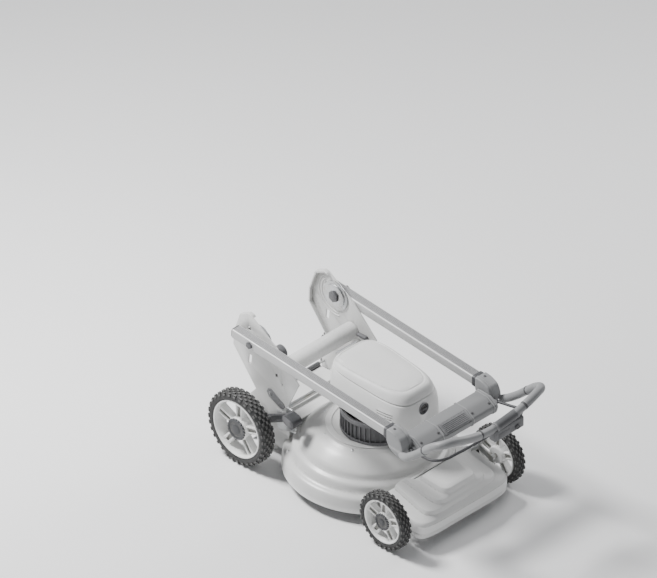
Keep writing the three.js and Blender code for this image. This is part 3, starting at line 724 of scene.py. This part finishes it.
def finish_deck():
    """The pressed dome, the tunnel joined into its rear, and the motor's seat."""
    dome = turned("deck_dome", in_metres(DOME), (DECK_X, 0, 0), "Z", 160)
    apply_modifier(dome, "SOLIDIFY", thickness=2.4 * MM, offset=-1)
    tunnel_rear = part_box("deck_shell")[0].x
    mouth_half, mouth_top = 157 * MM, 147 * MM
    mouth = cube("deck_mouth", (tunnel_rear - 0.1, -mouth_half, -0.01),
                 (from_axle(115, 0, 0).x, mouth_half, mouth_top))
    cut(dome, mouth)
    rear, front = tunnel_rear + 0.2 * MM, from_axle(122, 0, 0).x
    duct = cube("deck_tunnel", (rear, -160 * MM, 45 * MM), (front, 160 * MM, 150 * MM))
    choose_faces(duct, lambda face: abs(face.normal.x) > 0.9 or face.normal.z < -0.9)
    bpy.ops.mesh.delete(type="FACE")
    leave_edit()
    bevel_edges(duct, lambda a, b: abs(a.x - b.x) > 0.05 and a.z > 0.14 and b.z > 0.14, 8 * MM, 4)
    apply_modifier(duct, "SOLIDIFY", thickness=3 * MM, offset=-1)
    shell = joined("deck_finished", [dome, duct])
    smooth(shell, math.radians(28))
    settle(shell, "chassis", "body_paint", "deck_shell")
    collar = [(150, 199.5), (152, 201.8), (149, 203.2), (132, 204), (130, 202), (132, 200.5), (150, 199.5)]
    ring = turned("motor_seat_ring", in_metres(collar), (DECK_X, 0, 0), "Z", 128)
    smooth(ring)
    settle(ring, "chassis", "body_paint")
    for i in range(8):
        turn = math.tau * (i + 0.5) / 8
        place = Vector((DECK_X + 164 * MM * math.cos(turn), 164 * MM * math.sin(turn), 194.5 * MM))
        settle(screw_head(f"deck_screw_{i}", place, 5.5), "chassis", "steel")


# ------------------------------------------------------------------ moulded covers
def ring_shape(x, half, z, square, count):
    """A rounded outline: ends along the mower, half width and height at each end, squareness."""
    points = []
    for i in range(count):
        turn = math.tau * i / count
        along = math.copysign(abs(math.cos(turn)) ** (2 / square), math.cos(turn))
        aside = math.copysign(abs(math.sin(turn)) ** (2 / square), math.sin(turn))
        t = (along + 1) / 2
        points.append(Vector((x[0] + (x[1] - x[0]) * t, aside * (half[0] + (half[1] - half[0]) * t),
                              z[0] + (z[1] - z[0]) * t)) * MM + Vector((REAR_AXLE, 0, 0)))
    return points


def moulded(name, levels, closed=True):
    """A cover drawn up from its lowest outline: each level is extruded from the one below it."""
    count = 112
    bpy.ops.mesh.primitive_circle_add(vertices=count, radius=0.1, fill_type="NOTHING")
    obj = added(name)
    for i, spot in enumerate(ring_shape(*levels[0], count)):
        obj.data.vertices[i].co = spot
    for number, shape in enumerate(levels[1:], start=1):
        start = (number - 1) * count
        chosen = range(start, start + count)
        select_nothing(obj.data)
        for line in obj.data.edges:
            line.select = all(i in chosen for i in line.vertices)
        edit(obj, "EDGE")
        bpy.ops.mesh.extrude_region_move()
        leave_edit()
        for i, spot in enumerate(ring_shape(*shape, count)):
            obj.data.vertices[number * count + i].co = spot
    if closed:
        edit(obj, "EDGE")
        bpy.ops.mesh.edge_face_add()
        bpy.ops.mesh.inset(thickness=12 * MM)
        bpy.ops.mesh.inset(thickness=10 * MM)
        leave_edit()
    face_outwards(obj)
    return obj


# Terraces of the front cover from its edge inwards, in millimetres: front edge, then half width
# and height at the rear and at the front.
COVER_TERRACES = [
    (785, (197, 211), (124, 88)), (783.5, (194, 208.5), (132, 94)), (780, (189, 204), (136, 98)),
    (771, (157, 167), (141, 105)), (770.3, (155.5, 165), (142, 106)), (768.8, (152, 161), (154, 118)),
    (768, (150, 159), (155.5, 119.5)), (763.5, (124, 116), (159, 125)), (763, (122.5, 114), (160, 126)),
    (761.5, (119, 110), (170, 137)), (760.7, (117, 108), (171.5, 138.5)), (757, (94, 73), (175, 145)),
    (756.4, (92.5, 71.5), (176, 146.5)), (754, (88, 66), (186.5, 160)), (753, (86, 64), (188, 162)),
    (748, (76, 54), (189, 164.5)), (740, (68, 46), (190, 167)),
]
COVER_REAR, COVER_BEND, COVER_FRONT = 590, 690, 786
COVER_SQUARE = 6
DOME_MIDDLE = 345


def cover_height(x, y):
    """Height of the cover's top at a place, stepping between the terraces, in millimetres."""
    along = limited((x - 600) / 180)
    outer = None
    for front, halves, levels in COVER_TERRACES:
        reach = max(0.0, (x - COVER_BEND) / (front - COVER_BEND))
        sideways = abs(y) / between(*halves, along)
        spread = (sideways ** COVER_SQUARE + reach ** COVER_SQUARE) ** (1 / COVER_SQUARE)
        level = between(*levels, along)
        if spread > 1:
            if outer is None:
                return level
            return between(outer[1], level, (1 - outer[0]) / (spread - outer[0]))
        outer = (spread, level)
    return outer[1] + 1.2 * (1 - outer[0])


def dome_height(x, y):
    """Height of the deck's top at a place, or its rim's foot where there is no deck under it."""
    reach = math.hypot(x - DOME_MIDDLE, y)
    for (r_out, z_out), (r_in, z_in) in zip(DOME, DOME[1:]):
        if r_in <= reach <= r_out:
            return between(z_out, z_in, (r_out - reach) / (r_out - r_in))
    return 0.0


def cover_place(across, along):
    """A point of the cover's top, for -1 to 1 across it and 0 to 1 from its rear edge to its nose."""
    aside = 0.5 * across + 0.5 * math.sin(math.pi / 2 * across)
    width = limited(abs(aside))
    nose = between(COVER_BEND, COVER_FRONT, (1 - width ** COVER_SQUARE) ** (1 / COVER_SQUARE))
    step = between(652, 600, limited((abs(aside) * 200 - 82) / 43))
    shelf = 0.09
    if along < shelf:
        x = between(COVER_REAR, step - 1.5, along / shelf)
    else:
        u = (along - shelf) / (1 - shelf)
        x = between(step + 1.5, nose, 0.4 * u + 0.6 * math.sin(math.pi / 2 * u))
    y = aside * between(198, 212, limited((x - 598) / 188))
    z = cover_height(x, y)
    if along < shelf:
        z = min(z - 3, 130 + (x - COVER_REAR) * 0.2)
    return from_axle(x, y, z)


def finish_front_cover():
    """A terraced cover with a raised middle panel, a stepped rear edge and side walls."""
    columns, rows = 200, 90
    bpy.ops.mesh.primitive_grid_add(x_subdivisions=columns, y_subdivisions=rows, size=2)
    cover = added("front_cover_finished")
    for vertex in cover.data.vertices:
        vertex.co = cover_place(vertex.co.x, (vertex.co.y + 1) / 2)
    top_count = len(cover.data.vertices)
    edit_all(cover)
    bpy.ops.mesh.region_to_loop()
    bpy.ops.mesh.extrude_region_move(TRANSFORM_OT_translate={"value": (0, 0, -0.001)})
    leave_edit()
    for vertex in cover.data.vertices[top_count:]:
        x, y = (vertex.co.x - REAR_AXLE) / MM, vertex.co.y / MM
        foot = between(84, 62, limited((x - 598) / 188))
        vertex.co.z = max(foot, dome_height(x, y) + 1.5 if x < 640 else 0) * MM
    face_outwards(cover)
    apply_modifier(cover, "SOLIDIFY", thickness=2.4 * MM, offset=-1)
    pivot = from_axle(612, 0, 122)
    slot = cube("axle_slot", (pivot.x - 0.013, -0.26, 0.03), (pivot.x + 0.013, 0.26, pivot.z + 0.011))
    cut(cover, slot)
    smooth(cover, math.radians(26))
    settle(cover, "chassis", "cover_plastic", "front_cover")


HOUSING_LEVELS = [
    ((236, 576), (103, 95), (285.2, 285.2), 4), ((232, 580), (108, 100), (287, 287), 4),
    ((229, 584), (118, 108), (305, 300), 4), ((228, 585), (120, 110), (314, 308), 4),
    ((228, 584.5), (121, 109.5), (350, 340), 4), ((228, 584), (121, 109), (372, 361), 4),
    ((230, 580.5), (118, 105), (400, 383), 4), ((232.5, 576.5), (113.5, 98.5), (422.5, 399.5), 4),
    ((234, 574), (112, 96), (425, 401), 4), ((238, 569), (106.5, 90.5), (425.6, 401.6), 4),
    ((239, 568), (106, 90), (429.4, 404.4), 4),
]
LID_LEVELS = [
    ((238.5, 568.5), (106.5, 90.5), (430.4, 405.4), 4), ((234.5, 573.5), (111.6, 95.6), (430.8, 405.8), 4),
    ((235, 572), (110.5, 94.5), (434, 412), 4), ((237, 566), (107, 89), (439, 424), 4),
    ((240, 559), (102.5, 82), (442.3, 433), 4), ((242.5, 553), (99.5, 77), (443.8, 436.8), 4),
    ((245, 548), (97, 73.5), (444.4, 438), 4), ((246.5, 546), (95, 71.5), (443.2, 437), 4),
    ((249, 542), (92.5, 68.5), (443.4, 437.4), 4), ((251, 539), (90.5, 66.5), (445.4, 439.8), 4),
    ((260, 524), (82, 57), (447.2, 442), 4), ((277, 500), (67, 43), (448.8, 445.2), 4),
]


def finish_housing():
    """The open-topped motor housing with its side vents, its floor and the battery lid."""
    body = moulded("motor_housing_finished", HOUSING_LEVELS, closed=False)
    apply_modifier(body, "SOLIDIFY", thickness=3 * MM, offset=-1)
    knob = centre("lid_knob")
    cut(body, rod("knob_recess", 21 * MM, (knob.x - 0.02, 0, knob.z), (knob.x + 0.04, 0, knob.z), 48))
    for side in (-1, 1):
        for row in range(4):
            low = from_axle(474 + 4 * row, side * 100, 366 - 9 * row)
            high = from_axle(538 + 4 * row, side * 130, 370 - 9 * row)
            ends = list(zip(low, high))
            cut(body, cube("vent_slit", [min(pair) for pair in ends], [max(pair) for pair in ends]))
    smooth(body, math.radians(30))
    settle(body, "chassis", "cover_plastic", "motor_housing")
    floor_plate = moulded("housing_floor", [((238, 574), (101, 93), (285.4, 285.4), 4),
                                            ((240, 572), (99, 91), (287, 287), 4)])
    settle(floor_plate, "chassis", "cover_plastic")
    surround = [(18.8, 0), (21.5, 0), (22.5, 3), (21.5, 5.5), (19.5, 5.5), (18.8, 3), (18.8, 0)]
    collar = turned("knob_collar", in_metres(surround), (from_axle(579, 0, 0).x, 0, knob.z), "X", 56)
    smooth(collar)
    settle(collar, "chassis", "mid_plastic")
    lid = moulded("battery_lid_finished", LID_LEVELS)
    scoop = scoop_ball("lid_scoop", from_axle(262, -76, 462), (34, 17, 24))
    cut(lid, scoop)
    smooth(lid, math.radians(30))
    settle(lid, "lid", "cover_plastic", "battery_lid")


def finish_battery():
    """The battery with its ribbed sides, grip and catch, its dock, and the finned motor controller."""
    low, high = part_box("battery_pack")
    pack = cube("battery_pack_finished", low, high)
    bevel_edges(pack, lambda a, b: abs(a.z - b.z) > 0.01, 9 * MM)
    choose_faces(pack, lambda face: face.normal.z > 0.9)
    bpy.ops.mesh.inset(thickness=5 * MM)
    bpy.ops.mesh.inset(thickness=2 * MM, depth=-3 * MM)
    leave_edit()
    soften(pack, 1.2 * MM)
    pieces = [pack]
    for i in range(7):
        x = low.x + (24 + 20 * i) * MM
        for side in (-1, 1):
            rib = cube("battery_rib", (x, side * 59.4 * MM - 1 * MM, low.z + 12 * MM),
                       (x + 7 * MM, side * 59.4 * MM + 1 * MM, high.z - 14 * MM))
            soften(rib, 0.8 * MM)
            pieces.append(rib)
    grip = cube("battery_grip", (low.x + 40 * MM, -15 * MM, high.z - 3 * MM),
                (high.x - 40 * MM, 15 * MM, high.z + 9 * MM))
    hollow = cube("grip_hollow", (low.x + 56 * MM, -20 * MM, high.z - 4 * MM),
                  (high.x - 56 * MM, 20 * MM, high.z + 3 * MM))
    cut(grip, hollow)
    soften(grip, 2.5 * MM, 3)
    pieces.append(grip)
    settle(joined("battery_pack_finished", pieces), "chassis", "dark_plastic", "battery_pack")
    catch = cube("battery_catch", (high.x - 30 * MM, -18 * MM, high.z - 4 * MM),
                 (high.x - 12 * MM, 18 * MM, high.z + 3 * MM))
    soften(catch, 2 * MM, 3)
    settle(catch, "chassis", "mid_plastic")
    low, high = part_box("battery_dock")
    dock = cube("battery_dock_finished", low, high)
    choose_faces(dock, lambda face: face.normal.z > 0.9)
    bpy.ops.mesh.inset(thickness=3 * MM)
    bpy.ops.mesh.inset(thickness=1 * MM, depth=-6 * MM)
    leave_edit()
    soften(dock, 0.8 * MM)
    settle(dock, "chassis", "dark_plastic", "battery_dock")
    low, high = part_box("motor_controller")
    base = cube("motor_controller_finished", low, (high.x, high.y, high.z - 14 * MM))
    soften(base, 1.5 * MM)
    fins = [base]
    for i in range(15):
        y = low.y + (6 + 8.8 * i) * MM
        fin = cube("cooling_fin", (low.x + 4 * MM, y, high.z - 16 * MM),
                   (high.x - 4 * MM, y + 2.4 * MM, high.z))
        soften(fin, 0.5 * MM, 1)
        fins.append(fin)
    settle(joined("motor_controller_finished", fins), "chassis", "dark_plastic", "motor_controller")


def finish_knob():
    """A round dark release button with a raised rim and a bar across it."""
    low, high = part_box("lid_knob")
    profile = [(0, 0), (17.6, 0), (17.6, 22), (16.5, 26), (14.5, 28), (12.5, 27), (11.5, 24.5), (0, 24.5)]
    middle = centre("lid_knob").z
    knob = turned("lid_knob_finished", in_metres(profile), (low.x, 0, middle), "X", 56)
    bar = cube("knob_bar", (low.x + 24 * MM, -11 * MM, middle - 2.5 * MM),
               (high.x - 4 * MM, 11 * MM, middle + 2.5 * MM))
    soften(bar, 1.2 * MM)
    smooth(knob)
    settle(joined("lid_knob_finished", [knob, bar]), "lid_release", "dark_plastic", "lid_knob")


def finish_skirt():
    """The vented motor skirt: a drum of upright fins between two rings."""
    low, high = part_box("motor_skirt")
    middle = (low + high) / 2
    radius = (high.x - low.x) / 2
    pieces = []
    for z0, z1 in ((low.z, low.z + 10 * MM), (high.z - 14 * MM, high.z)):
        band = [(radius, z0), (radius, z1), (radius - 4 * MM, z1), (radius - 4 * MM, z0), (radius, z0)]
        pieces.append(turned("skirt_band", band, (middle.x, 0, 0), "Z", 96))
    drum = [(radius - 9 * MM, low.z + 1 * MM), (radius - 9 * MM, high.z - 1 * MM)]
    pieces.append(turned("skirt_drum", drum, (middle.x, 0, 0), "Z", 96))
    apply_modifier(pieces[-1], "SOLIDIFY", thickness=1.5 * MM, offset=0)
    fin = cube("skirt_fin", (radius - 9 * MM, -1.6 * MM, low.z + 6 * MM),
               (radius - 1 * MM, 1.6 * MM, high.z - 8 * MM))
    soften(fin, 0.6 * MM)
    fins = 44
    for i in range(fins):
        move = Matrix.Translation((middle.x, 0, 0)) @ Matrix.Rotation(math.tau * i / fins, 4, "Z")
        pieces.append(copied(fin, f"skirt_fin_{i}", move))
    bpy.data.objects.remove(fin)
    skirt = joined("motor_skirt_finished", pieces)
    smooth(skirt)
    settle(skirt, "chassis", "dark_plastic", "motor_skirt")


# ------------------------------------------------------------------ handle
LOOP_RIGHT = [(694, -213, 358), (724, -231, 367), (768, -236, 398), (822, -237, 446), (866, -238, 482),
              (892, -226, 496), (904, -194, 497), (905, -137, 478), (900, -62, 456)]
LOOP_LINE = LOOP_RIGHT + [(897, 0, 448)] + [(x, -y, z) for x, y, z in reversed(LOOP_RIGHT)]
LOOP_TUBE_RADIUS = 14.0 * MM


def loop_ring(name, index, toward):
    """A dark joint ring round the loop at one of its points."""
    here = from_axle(*LOOP_LINE[index])
    along = (from_axle(*LOOP_LINE[index + toward]) - here).normalized() * 8 * MM / 2
    ring = rod(name, 15.2 * MM, here - along, here + along, 40)
    soften(ring, 0.8 * MM)
    return ring


def finish_loop():
    """The loop tube with its two thicker grips, and the dark rings that end them."""
    tube = bent_tube("loop_handle_finished", [from_axle(*p) for p in LOOP_LINE], LOOP_TUBE_RADIUS, 20)
    arm, right_end, left_end = from_axle(822, 0, 0).x, -62 * MM, 137 * MM
    choose_faces(tube, lambda face: face.center.x > arm and len(face.vertices) == 4
                 and (face.center.y < right_end or face.center.y > left_end))
    bpy.ops.mesh.extrude_region_shrink_fatten(TRANSFORM_OT_shrink_fatten={"value": 0.9 * MM})
    leave_edit()
    smooth(tube, math.radians(50))
    settle(tube, "handle", "handle_plastic", "loop_handle")
    for name, index, toward in (("right_arm", 3, 1), ("right_front", 8, -1), ("left_front", 11, 1),
                                ("left_arm", 15, -1)):
        settle(loop_ring(f"loop_ring_{name}", index, toward), "handle", "dark_plastic")


def finish_pod():
    """The switch pod: a clamp round the loop over a rounded box, with the start button in its front."""
    low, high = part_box("control_pod")
    body = cube("control_pod_finished", (low.x + 1 * MM, low.y, low.z), (high.x - 1 * MM, high.y, 448 * MM))
    bevel_edges(body, lambda a, b: abs(a.y - b.y) > 0.05, 8 * MM)
    soften(body, 2.5 * MM, 3)
    line = [from_axle(898.5, 8, 449.4), from_axle(899.4, 62, 456), from_axle(901.6, 104, 464)]
    pieces = [body, bent_tube("pod_clamp", line, 16.8 * MM)]
    pod = joined("control_pod_finished", pieces)
    button = centre("start_button")
    cut(pod, rod("button_bore", 10.6 * MM, (button.x - 0.016, button.y, button.z),
                 (button.x + 0.05, button.y, button.z), 40))
    smooth(pod)
    settle(pod, "handle", "mid_plastic", "control_pod")
    panel = cube("pod_side_panel", (high.x - 1.6 * MM, low.y + 14 * MM, low.z + 9 * MM),
                 (high.x - 0.2 * MM, low.y + 66 * MM, low.z + 27 * MM))
    soften(panel, 0.6 * MM)
    settle(panel, "handle", "dark_plastic")
    low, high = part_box("start_button")
    profile = [(0, 0), (9.8, 0), (9.8, 20), (8.6, 22.4), (6.5, 22.8), (5, 21.6), (0, 21.2)]
    knob = turned("start_button_finished", in_metres(profile), (low.x, button.y, button.z), "X", 40)
    smooth(knob)
    settle(knob, "button", "dark_plastic", "start_button")


BAIL_HINGE_X, BAIL_HINGE_Z = 722, 372


def at_bail_hinge(y):
    return from_axle(BAIL_HINGE_X, y, BAIL_HINGE_Z)


def finish_bail():
    """The bail's bent rod, with an eye on the hinge at each end."""
    right = [(722, -195, 372), (775, -200, 380), (826, -200, 389), (850, -176, 393), (858, -130, 395)]
    line = right + [(862, 0, 396)] + [(x, -y, z) for x, y, z in reversed(right)]
    rod_piece = bent_tube("bail_rod", [from_axle(*p) for p in line], 4.9 * MM)
    pieces = [rod_piece]
    for side in (-1, 1):
        eye = rod("bail_eye", 9 * MM, at_bail_hinge(side * 190.5), at_bail_hinge(side * 199), 40)
        soften(eye, 0.8 * MM)
        pieces.append(eye)
    bail = joined("bail_finished", pieces)
    settle(bail, "bail_body", "dark_plastic", "bail")


TUBE_SLOPE = math.radians(3.17)
FOLD_X, FOLD_Z = 5, 445.5
FOLD_PIVOT = from_axle(FOLD_X, 0, FOLD_Z)


def in_tube_frame():
    return Matrix.Translation(FOLD_PIVOT) @ Matrix.Rotation(TUBE_SLOPE, 4, "Y")


def finish_tubes():
    """Rounded rectangular tubes with a ribbed strip along the top and a collar at the front."""
    rear, front, across, half_w, half_h = -82, 634, 203, 20, 18
    for name, side in (("right", -1), ("left", 1)):
        tube = cube(f"tube_{name}_finished", (rear * MM, (side * across - half_w) * MM, -half_h * MM),
                    (front * MM, (side * across + half_w) * MM, (half_h - 1.6) * MM))
        bevel_edges(tube, lambda a, b: abs(a.x - b.x) > 0.1, 6 * MM)
        smooth(tube)
        tube.data.transform(in_tube_frame())
        settle(tube, "handle", "handle_grey", f"tube_{name}")
        ribs = []
        for i in range(5):
            y = (side * across - 11.2 + 5.6 * i) * MM
            rib = cube("tube_rib", ((rear + 1) * MM, y - 1.7 * MM, (half_h - 3) * MM),
                       ((front - 16) * MM, y + 1.7 * MM, half_h * MM))
            soften(rib, 0.7 * MM)
            ribs.append(rib)
        strip = joined(f"tube_ribs_{name}", ribs)
        strip.data.transform(in_tube_frame())
        settle(strip, "handle", "mid_plastic")
        collar = cube(f"tube_collar_{name}", (618 * MM, (side * across - 22.5) * MM, -20.5 * MM),
                      (632 * MM, (side * across + 22.5) * MM, 20.5 * MM))
        bevel_edges(collar, lambda a, b: abs(a.x - b.x) > 0.01, 7 * MM)
        soften(collar, 1 * MM)
        collar.data.transform(in_tube_frame())
        settle(collar, "handle", "dark_plastic")


LATCH_SLOPE = math.atan2(23, 39)


def on_paddle(length, thickness, half, lift, along=0.0):
    """A slab on the slanted latch face, lifted off it along its normal."""
    low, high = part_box("latch_paddle")
    middle = (low + high) / 2
    slab = cube("paddle_slab", (-length / 2 + along, -half, -thickness / 2 + lift),
                (length / 2 + along, half, thickness / 2 + lift))
    slab.data.transform(Matrix.Translation(middle) @ Matrix.Rotation(LATCH_SLOPE, 4, "Y"))
    return slab


def finish_paddle():
    """The latch paddle: a dark plate with ribs across it for the fingers."""
    plate = on_paddle(42 * MM, 10 * MM, 60 * MM, -1 * MM)
    soften(plate, 2.2 * MM, 3)
    pieces = [plate]
    for i in range(6):
        rib = on_paddle(2.6 * MM, 3 * MM, 52 * MM, 4.4 * MM, (-14 + 5.6 * i) * MM)
        soften(rib, 1.0 * MM)
        pieces.append(rib)
    settle(joined("latch_paddle_finished", pieces), "latch", "mid_plastic", "latch_paddle")


BAR_OUTLINE = [(655, 398), (706, 398), (745, 375), (738, 345), (690, 335), (655, 350)]
KNUCKLE_OUTLINE = [(636, 434), (668, 431), (698, 417), (711, 388), (711, 352), (692, 345), (656, 358),
                   (636, 386)]
YOKE_SEAM = 372


def side_plate(name, outline, y0, y1, rounding, end_rounding=0.0, grow=1.0):
    """A side-view outline drawn out across the mower, with its long edges rounded."""
    middle_x = sum(x for x, _ in outline) / len(outline)
    middle_z = sum(z for _, z in outline) / len(outline)
    corners = [(middle_x + (x - middle_x) * grow, middle_z + (z - middle_z) * grow) for x, z in outline]
    bpy.ops.mesh.primitive_circle_add(vertices=len(corners), radius=0.1, fill_type="NGON")
    obj = added(name)
    for vertex, (x, z) in zip(obj.data.vertices, corners):
        vertex.co = from_axle(x, y0, z)
    edit(obj, "FACE")
    bpy.ops.mesh.select_all(action="SELECT")
    bpy.ops.mesh.extrude_region_move(TRANSFORM_OT_translate={"value": (0, (y1 - y0) * MM, 0)})
    leave_edit()
    face_outwards(obj)
    bevel_edges(obj, lambda a, b: abs(a.y - b.y) > abs(y1 - y0) * MM * 0.9, rounding * MM)
    if end_rounding:
        soften(obj, end_rounding * MM, 3, 40)
    return obj


def finish_yoke():
    """Two yoke halves: a rounded bar with raised bands, and a knuckle at each end."""
    body = side_plate("yoke", BAR_OUTLINE, -181, 181, 9)
    for side in (-1, 1):
        cut(body, side_plate("knuckle", KNUCKLE_OUTLINE, side * 179.5, side * 228, 9, 4), "UNION")
        for y in (66, 163, 172):
            cut(body, side_plate("band", BAR_OUTLINE, side * y, side * (y + 5), 9, 0.8, 1.05), "UNION")
        knuckle_band = side_plate("knuckle_band", KNUCKLE_OUTLINE, side * 188, side * 193, 9, 0.8, 1.035)
        cut(body, knuckle_band, "UNION")
        lug = [(700, 362), (722, 362), (731, 367), (731, 377), (722, 382), (700, 382)]
        cut(body, side_plate("bail_lug", lug, side * 180, side * 190, 2), "UNION")
    cut(body, on_paddle(45 * MM, 30 * MM, 61.5 * MM, -5 * MM))
    for half, keep_top in (("yoke_top", True), ("yoke_bottom", False)):
        piece = copied(body, half + "_finished")
        edit_all(piece)
        bpy.ops.mesh.bisect(plane_co=from_axle(0, 0, YOKE_SEAM), plane_no=(0, 0, 1), use_fill=True,
                            clear_inner=keep_top, clear_outer=not keep_top)
        leave_edit()
        smooth(piece)
        settle(piece, "handle", "handle_plastic", half)
    bpy.data.objects.remove(body)
    for side in (-1, 1):
        name = "right" if side < 0 else "left"
        for place, y in (("inner", 78), ("outer", 156)):
            screw = screw_head(f"yoke_screw_{place}_{name}", (0, 0, 0), 5)
            screw.data.transform(Matrix.Translation(from_axle(725.5, side * y, 386.2))
                                 @ Matrix.Rotation(LATCH_SLOPE, 4, "Y"))
            settle(screw, "handle", "dark_plastic")
        screw = screw_head(f"yoke_screw_top_{name}", from_axle(655, side * 208, 432), 5)
        settle(screw, "handle", "dark_plastic")
        boss = rod(f"bail_boss_{name}", 8 * MM, at_bail_hinge(side * 199.2), at_bail_hinge(side * 201.4))
        soften(boss, 0.6 * MM)
        settle(boss, "handle", "steel")


GRIP_OUTLINE = [(166, 232), (174, 224), (208, 214), (217, 222), (216, 242), (206, 250), (174, 256),
                (166, 248)]


def finish_height_grip():
    """The height lever's smooth grip, well rounded at its ends."""
    low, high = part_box("height_grip")
    grip = side_plate("height_grip_finished", GRIP_OUTLINE, low.y / MM, high.y / MM, 6, 9)
    settle(grip, BODY_OF["height_grip"], "dark_plastic", "height_grip")


def finish_quadrant():
    """The height lever's notched quadrant, and the screw in the strap above it."""
    plate = refined("lever_quadrant")
    for x, z in ((180, 168), (182, 182), (184.5, 197), (181, 214), (172, 231)):
        cut(plate, rod("quadrant_notch", 4 * MM, from_axle(x, -190, z), from_axle(x, -178, z), 20))
    smooth(plate)
    settle(plate, BODY_OF["lever_quadrant"], SLOT_OF["lever_quadrant"], "lever_quadrant")
    settle(screw_head("strap_screw", from_axle(62, -184, 264), 6, "-Y"), "chassis", "steel")


# ------------------------------------------------------------------ brackets
BRACKET_FACE = 176


def finish_bracket_beads():
    """Two pressed beads curving round behind each fold pivot."""
    for side in (-1, 1):
        name = "right" if side < 0 else "left"
        arc = [math.radians(a) for a in range(130, 281, 15)]
        for bead, radius in (("outer", 78), ("inner", 66)):
            line = [from_axle(FOLD_X + radius * math.cos(a), side * BRACKET_FACE,
                              FOLD_Z + radius * math.sin(a)) for a in arc]
            settle(bent_tube(f"bracket_bead_{bead}_{name}", line, 2.2 * MM), "chassis", "body_paint")


def finish_deck_lug():
    """A small screwed lug on the deck's right rear flange."""
    profile = [(0, -6), (9, -6), (8.5, 3), (7, 4), (0, 4)]
    boss = turned("deck_lug", in_metres(profile), from_axle(166, -207, 92), "Z", 32)
    smooth(boss)
    settle(boss, "chassis", "body_paint")
    settle(screw_head("deck_lug_screw", from_axle(166, -207, 96), 5), "chassis", "steel")


finish_wheels()
finish_deck()
finish_front_cover()
finish_housing()
finish_knob()
finish_skirt()
finish_battery()
finish_loop()
finish_pod()
finish_bail()
finish_tubes()
finish_paddle()
finish_yoke()
finish_height_grip()
finish_quadrant()
finish_bracket_beads()
finish_deck_lug()


# ------------------------------------------------------------------ pieces that keep their CAD shape
HIDDEN_NODES = {"motor_rotor", "motor_stator", "lid_hinge_pin"}


def finish_remaining():
    """CAD pieces not remodelled above: rounded copies where they show, and finishes on the rest."""
    for node, obj in frame["nodes"].items():
        if node in FINISHED:
            continue
        slot = SLOT_OF[node]
        if node in HIDDEN_NODES:
            obj.data.materials.clear()
            obj.data.materials.append(FINISHES[slot])
        else:
            settle(refined(node), BODY_OF[node], slot, node)


finish_remaining()


# ------------------------------------------------------------------ studio
def plain_material(name, colour, roughness):
    material = bpy.data.materials.new(name)
    material.use_nodes = True
    shader = material.node_tree.nodes["Principled BSDF"]
    shader.inputs["Base Color"].default_value = (*colour, 1.0)
    shader.inputs["Roughness"].default_value = roughness
    return material


def studio_floor():
    bpy.ops.mesh.primitive_plane_add(size=40, location=(0, 0, -0.0005))
    floor = added("studio_floor")
    floor.data.materials.append(plain_material("studio_floor_paint", (0.92, 0.92, 0.92), 0.75))


def soft_light(name, direction, distance, width, power):
    target = Vector((0, 0, 0.2))
    place = target + Vector(direction).normalized() * distance
    bpy.ops.object.light_add(type="AREA", location=place)
    lamp = bpy.context.active_object
    lamp.name = name
    lamp.data.shape = "DISK"
    lamp.data.size = width
    lamp.data.energy = power
    lamp.rotation_euler = (target - place).to_track_quat("-Z", "Y").to_euler()


def studio_lights():
    world = bpy.data.worlds.new("studio_world")
    world.use_nodes = True
    background = world.node_tree.nodes["Background"]
    background.inputs["Color"].default_value = (0.94, 0.96, 1.0, 1.0)
    background.inputs["Strength"].default_value = 0.26
    bpy.context.scene.world = world
    soft_light("key_light", (-0.8, -0.45, 1.2), 3.6, 1.0, 240)
    soft_light("fill_light", (1.0, -0.6, 0.3), 4.2, 2.2, 15)
    soft_light("rim_light", (0.1, 1.2, 0.8), 3.8, 1.6, 60)


PICTURE_WIDTH_M = 2.135
LENS_MM = 1200.0
SENSOR_MM = 36.0


def studio_camera():
    """A long lens looking down at the mower's right front corner, as in an isometric view."""
    target = from_axle(145.3, 0, 628)
    back = Vector((1, -1, 1)).normalized()
    distance = PICTURE_WIDTH_M * LENS_MM / SENSOR_MM
    bpy.ops.object.camera_add(location=target + back * distance)
    camera = bpy.context.active_object
    camera.name = "studio_camera"
    camera.data.lens = LENS_MM
    camera.data.sensor_width = SENSOR_MM
    camera.data.clip_end = 200
    camera.rotation_euler = (-back).to_track_quat("-Z", "Y").to_euler()
    bpy.context.scene.camera = camera


studio_floor()
studio_lights()
studio_camera()
